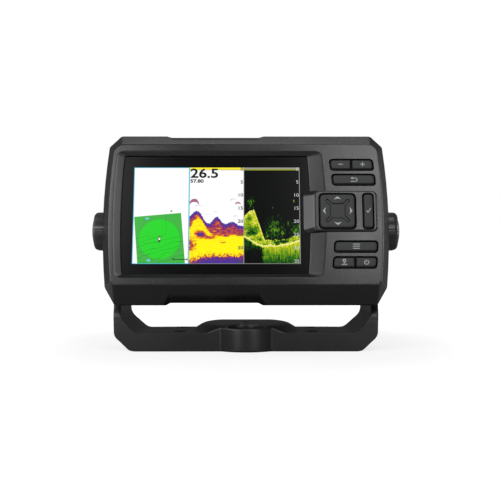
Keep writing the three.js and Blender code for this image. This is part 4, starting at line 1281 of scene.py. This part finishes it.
def sonar_strength(picture, v, layers, clumps):
    """How strong the returns from a rocky bed are, and where: the second field is above 0 in the bed."""
    u = picture.u
    bed = (u.hump(-31.2, 4.6, 9.6) + u.hump(-36.8, 4, 3.8) + u.hump(-18.9, 3.6, 6.2) + u.hump(-9, 3.6, 2.9)
           + picture.noise(1.1, 1.1, 5, 9) * 2.6 - 2.6)
    depth = bed - v
    hill = u.hump(-31, 6.2, 12.2) + picture.noise(4, 2, 4, 11) * 5 - 8.4 - v
    flow = (v + u.hump(-12, 7, 3.2) + layers * 5).ramp(-11.5, -14.5) * (u + clumps * 12).ramp(-34, -27)
    right = (u + layers * 9).ramp(-17, -11) * (v + clumps * 9).ramp(-7, -11.5)
    strength = depth.ramp(0.3, 3.6) * 0.38 + hill.ramp(-0.6, 2.6) * 0.42 + flow * 0.5 + right * 0.34
    strength = strength.maths("MINIMUM", 0.98) + layers * 0.75 + clumps * 0.6
    for at_u, at_v, wide, tall, dark in DARK_SPOTS:
        strength = strength - u.hump(at_u, wide, 1) * v.hump(at_v, tall, dark)
    fade = (v + clumps * 6 + picture.noise(0.9, 0.9, 3, 31) * 8 + u.hump(-36, 6, 4)).ramp(-25.6, -18.6)
    return strength * (fade * 0.86 + 0.14), depth


def paint_sonar(picture):
    """The middle panel: strong returns are yellow and weak ones purple, with fish over the bed."""
    left, top = MAP_EDGE + 0.3, SCREEN["top"]
    panel = picture.inside(left, SONAR_EDGE, SCREEN["bottom"], top)
    picture.paint("white", panel)
    u, v = picture.u, picture.v + BED_LIFT
    layers = picture.noise(3.2, 0.9, 5, 7)
    clumps = picture.noise(2.2, 1.5, 5, 23)
    strength, depth = sonar_strength(picture, v, layers, clumps)
    picture.paint(picture.scale(strength, SONAR_STOPS), panel * (depth > 0))
    for at_u, at_v, half in ARCHES:
        away = (u - at_u) * (1 / half)
        arch = v - at_v + away * away * half * 0.75 + layers * 3.2
        near = (away.size() < 1) * panel
        picture.paint("arch", near * (arch.size() < half * 0.34))
        picture.paint("arch_core", near * (arch.size() < half * 0.16))
    for at_u, at_v, wide in FISH:
        away = (u - at_u) * (1 / wide)
        streak = (v - at_v + away * away * 0.8 + layers * 2).size() < 0.14
        picture.paint("fish", streak * (away.size() < 1) * panel)
    picture.box("strip", left, SONAR_EDGE, top - 1.5, top)
    picture.box("strip_edge", left, SONAR_EDGE, top - 1.8, top - 1.5)


def scan_strength(picture, v):
    """How bright the scan is, with a mound at the left and a weedy bed."""
    u = picture.u
    fine = picture.noise(0.9, 0.9, 5, 43)
    streaks = picture.noise(0.8, 4.5, 5, 41)
    clumps = picture.noise(3.5, 3.0, 4, 47)
    slope = u * -3.0 + 24.6
    mound_top = ((u - 5) * (u - 5) * -0.11 + 8.2).maths("MINIMUM", slope) + fine * 2.4
    glow = (mound_top - v).hump(0.9, 2.4, 0.26) + clumps * 1.5 + fine * 0.9
    shade = u.hump(3.6, 3.4, 1) * v.hump(-6.6, 2.4, 0.42)
    strength = (mound_top - v).ramp(0, 0.5) * (glow + 0.56 - shade)
    ridge = u.hump(-2, 7.5, 6.2) + u.hump(37, 9, 4.0) - 15.2 + fine * 1.4 + clumps * 2
    under = ridge - v
    band = (ridge + 3.4 + clumps * 2.4 - v).ramp(0, 0.6) * u.ramp(9, 11)
    strength = strength.maths("MAXIMUM", band * (fine * 1.8 + clumps * 1.2 + 0.58))
    strength = strength - u.hump(23.2, 4.4, 1) * (v - ridge).hump(1.6, 1.0, 0.6)
    hollow = (u + fine * 3).ramp(11.6, 9.8) * (under + clumps * 3).ramp(0.8, 2.6) * 0.5
    soil = v.ramp(-31, -13) * 0.52 + 0.14 + under.hump(0.3, 1.1, 0.42) + streaks * 0.9 + fine * 0.55 - hollow
    bed = under.ramp(0, 0.3)
    return add_weeds(picture, v, fine, strength * (bed * -1 + 1) + bed * soil)


def add_weeds(picture, v, fine, strength):
    """The scan's strength with twiggy weeds added to it."""
    twigs = picture.noise(0.55, 2.4, 5, 53)
    for at_u, at_v, wide, tall in WEEDS:
        weed = picture.u.hump(at_u, wide, 1) * v.hump(at_v, tall, 1)
        green = (weed * 0.62 + twigs * 2.4 + fine * 1.2 - 0.26) * (weed > 0.1)
        strength = strength.maths("MAXIMUM", green * 0.8)
    return strength.maths("MAXIMUM", 0)


def paint_scan(picture):
    """The right panel: a downward scan in green on black, and the lines round the sonar panels."""
    left, right, bottom, top = SONAR_EDGE, SCREEN["right"], SCREEN["bottom"], SCREEN["top"]
    panel = picture.inside(left, right, bottom, top)
    picture.paint("black", panel)
    strength = scan_strength(picture, picture.v + BED_LIFT)
    picture.paint(picture.scale(strength, SCAN_STOPS), panel * (strength > 0.02))
    picture.box("scan_strip", left, right, top - 1.9, top - 0.9)
    picture.box("grey", left, right, top - 0.9, top)
    picture.box("grey", left - 0.4, left, bottom, top)
    picture.box("grey", right - 0.4, right, bottom, top)
    picture.box("grey", MAP_EDGE, right, bottom, bottom + 0.28)


def make_lens():
    """The cover glass, black round the screen, with the picture that shows through it."""
    material = new_material("lens_glass", 0.22, specular=0.12)
    picture = Picture(material)
    paint_chart(picture)
    paint_marks(picture)
    paint_sonar(picture)
    paint_scan(picture)
    black = (0.004, 0.004, 0.0045, 1)
    feed(material, {"Base Color": black, "Emission Color": picture.colour, "Emission Strength": 1.0})
    edge = offset(window_ring(GLASS), 1.9)
    profile = [(-0.3, LENS_W - 1.4), (0, LENS_W - 1.1), (0, LENS_W - 0.3), (-0.3, LENS_W)]
    lens = prism("cover_glass", edge, profile)
    finish_piece(lens, "display", "lens_glass", "cover_lens", material=material)


def number(text, u, v, height, align, weight, width):
    """A printed number on the screen, in the plain built-in typeface. height is that of its digits."""
    curve = bpy.data.curves.new("number", "FONT")
    curve.body = text
    curve.size = height / 0.7
    curve.align_x = align
    curve.extrude = 0.015
    curve.offset = weight
    curve.resolution_u = 3
    letters = add_object("number", curve)
    mesh = applied_mesh(letters)
    bpy.data.objects.remove(letters)
    mesh.transform(ON_DISPLAY @ Matrix.Translation((u, v, LENS_W + 0.05)) @ Matrix.Diagonal((width, 1, 1, 1)))
    return add_object("number", mesh)


def print_numbers(name, entries, ink):
    numbers = [number(*entry) for entry in entries]
    finish_piece(gather(name, numbers), "display", "screen_glass", material=ink)


def make_numbers():
    """The depth reading, and a scale of depths down the right side of both sonar panels."""
    first, step, height = 34.1, 8.85, 2.2
    left = MAP_EDGE + 0.5
    reading = [("26.5", left, 29.3, 6.1, "LEFT", 0.21, 1.24),
               ("57.80", left, 25.9, height, "LEFT", 0.12, 1.25)]
    print_numbers("depth_reading", reading, DARK_INK)
    scales = (("sonar_scale", SONAR_EDGE, GREY_INK, 0.07), ("scan_scale", SCREEN["right"], WHITE_INK, 0.0))
    for name, edge, ink, weight in scales:
        rows = [(str(5 * k), edge - 0.6, first - step * k, height, "RIGHT", weight, 1.15) for k in range(8)]
        print_numbers(name, rows, ink)


make_camera()
for name, setting in SOFTBOXES.items():
    make_softbox(name, *setting)
make_world()
make_floor()
dress_frame()
make_bezel()
make_keys()
make_pad()
make_knob("left", -1)
make_knob("right", 1)
make_rear_cover()
make_small_parts()
make_bracket()
make_lens()
make_numbers()
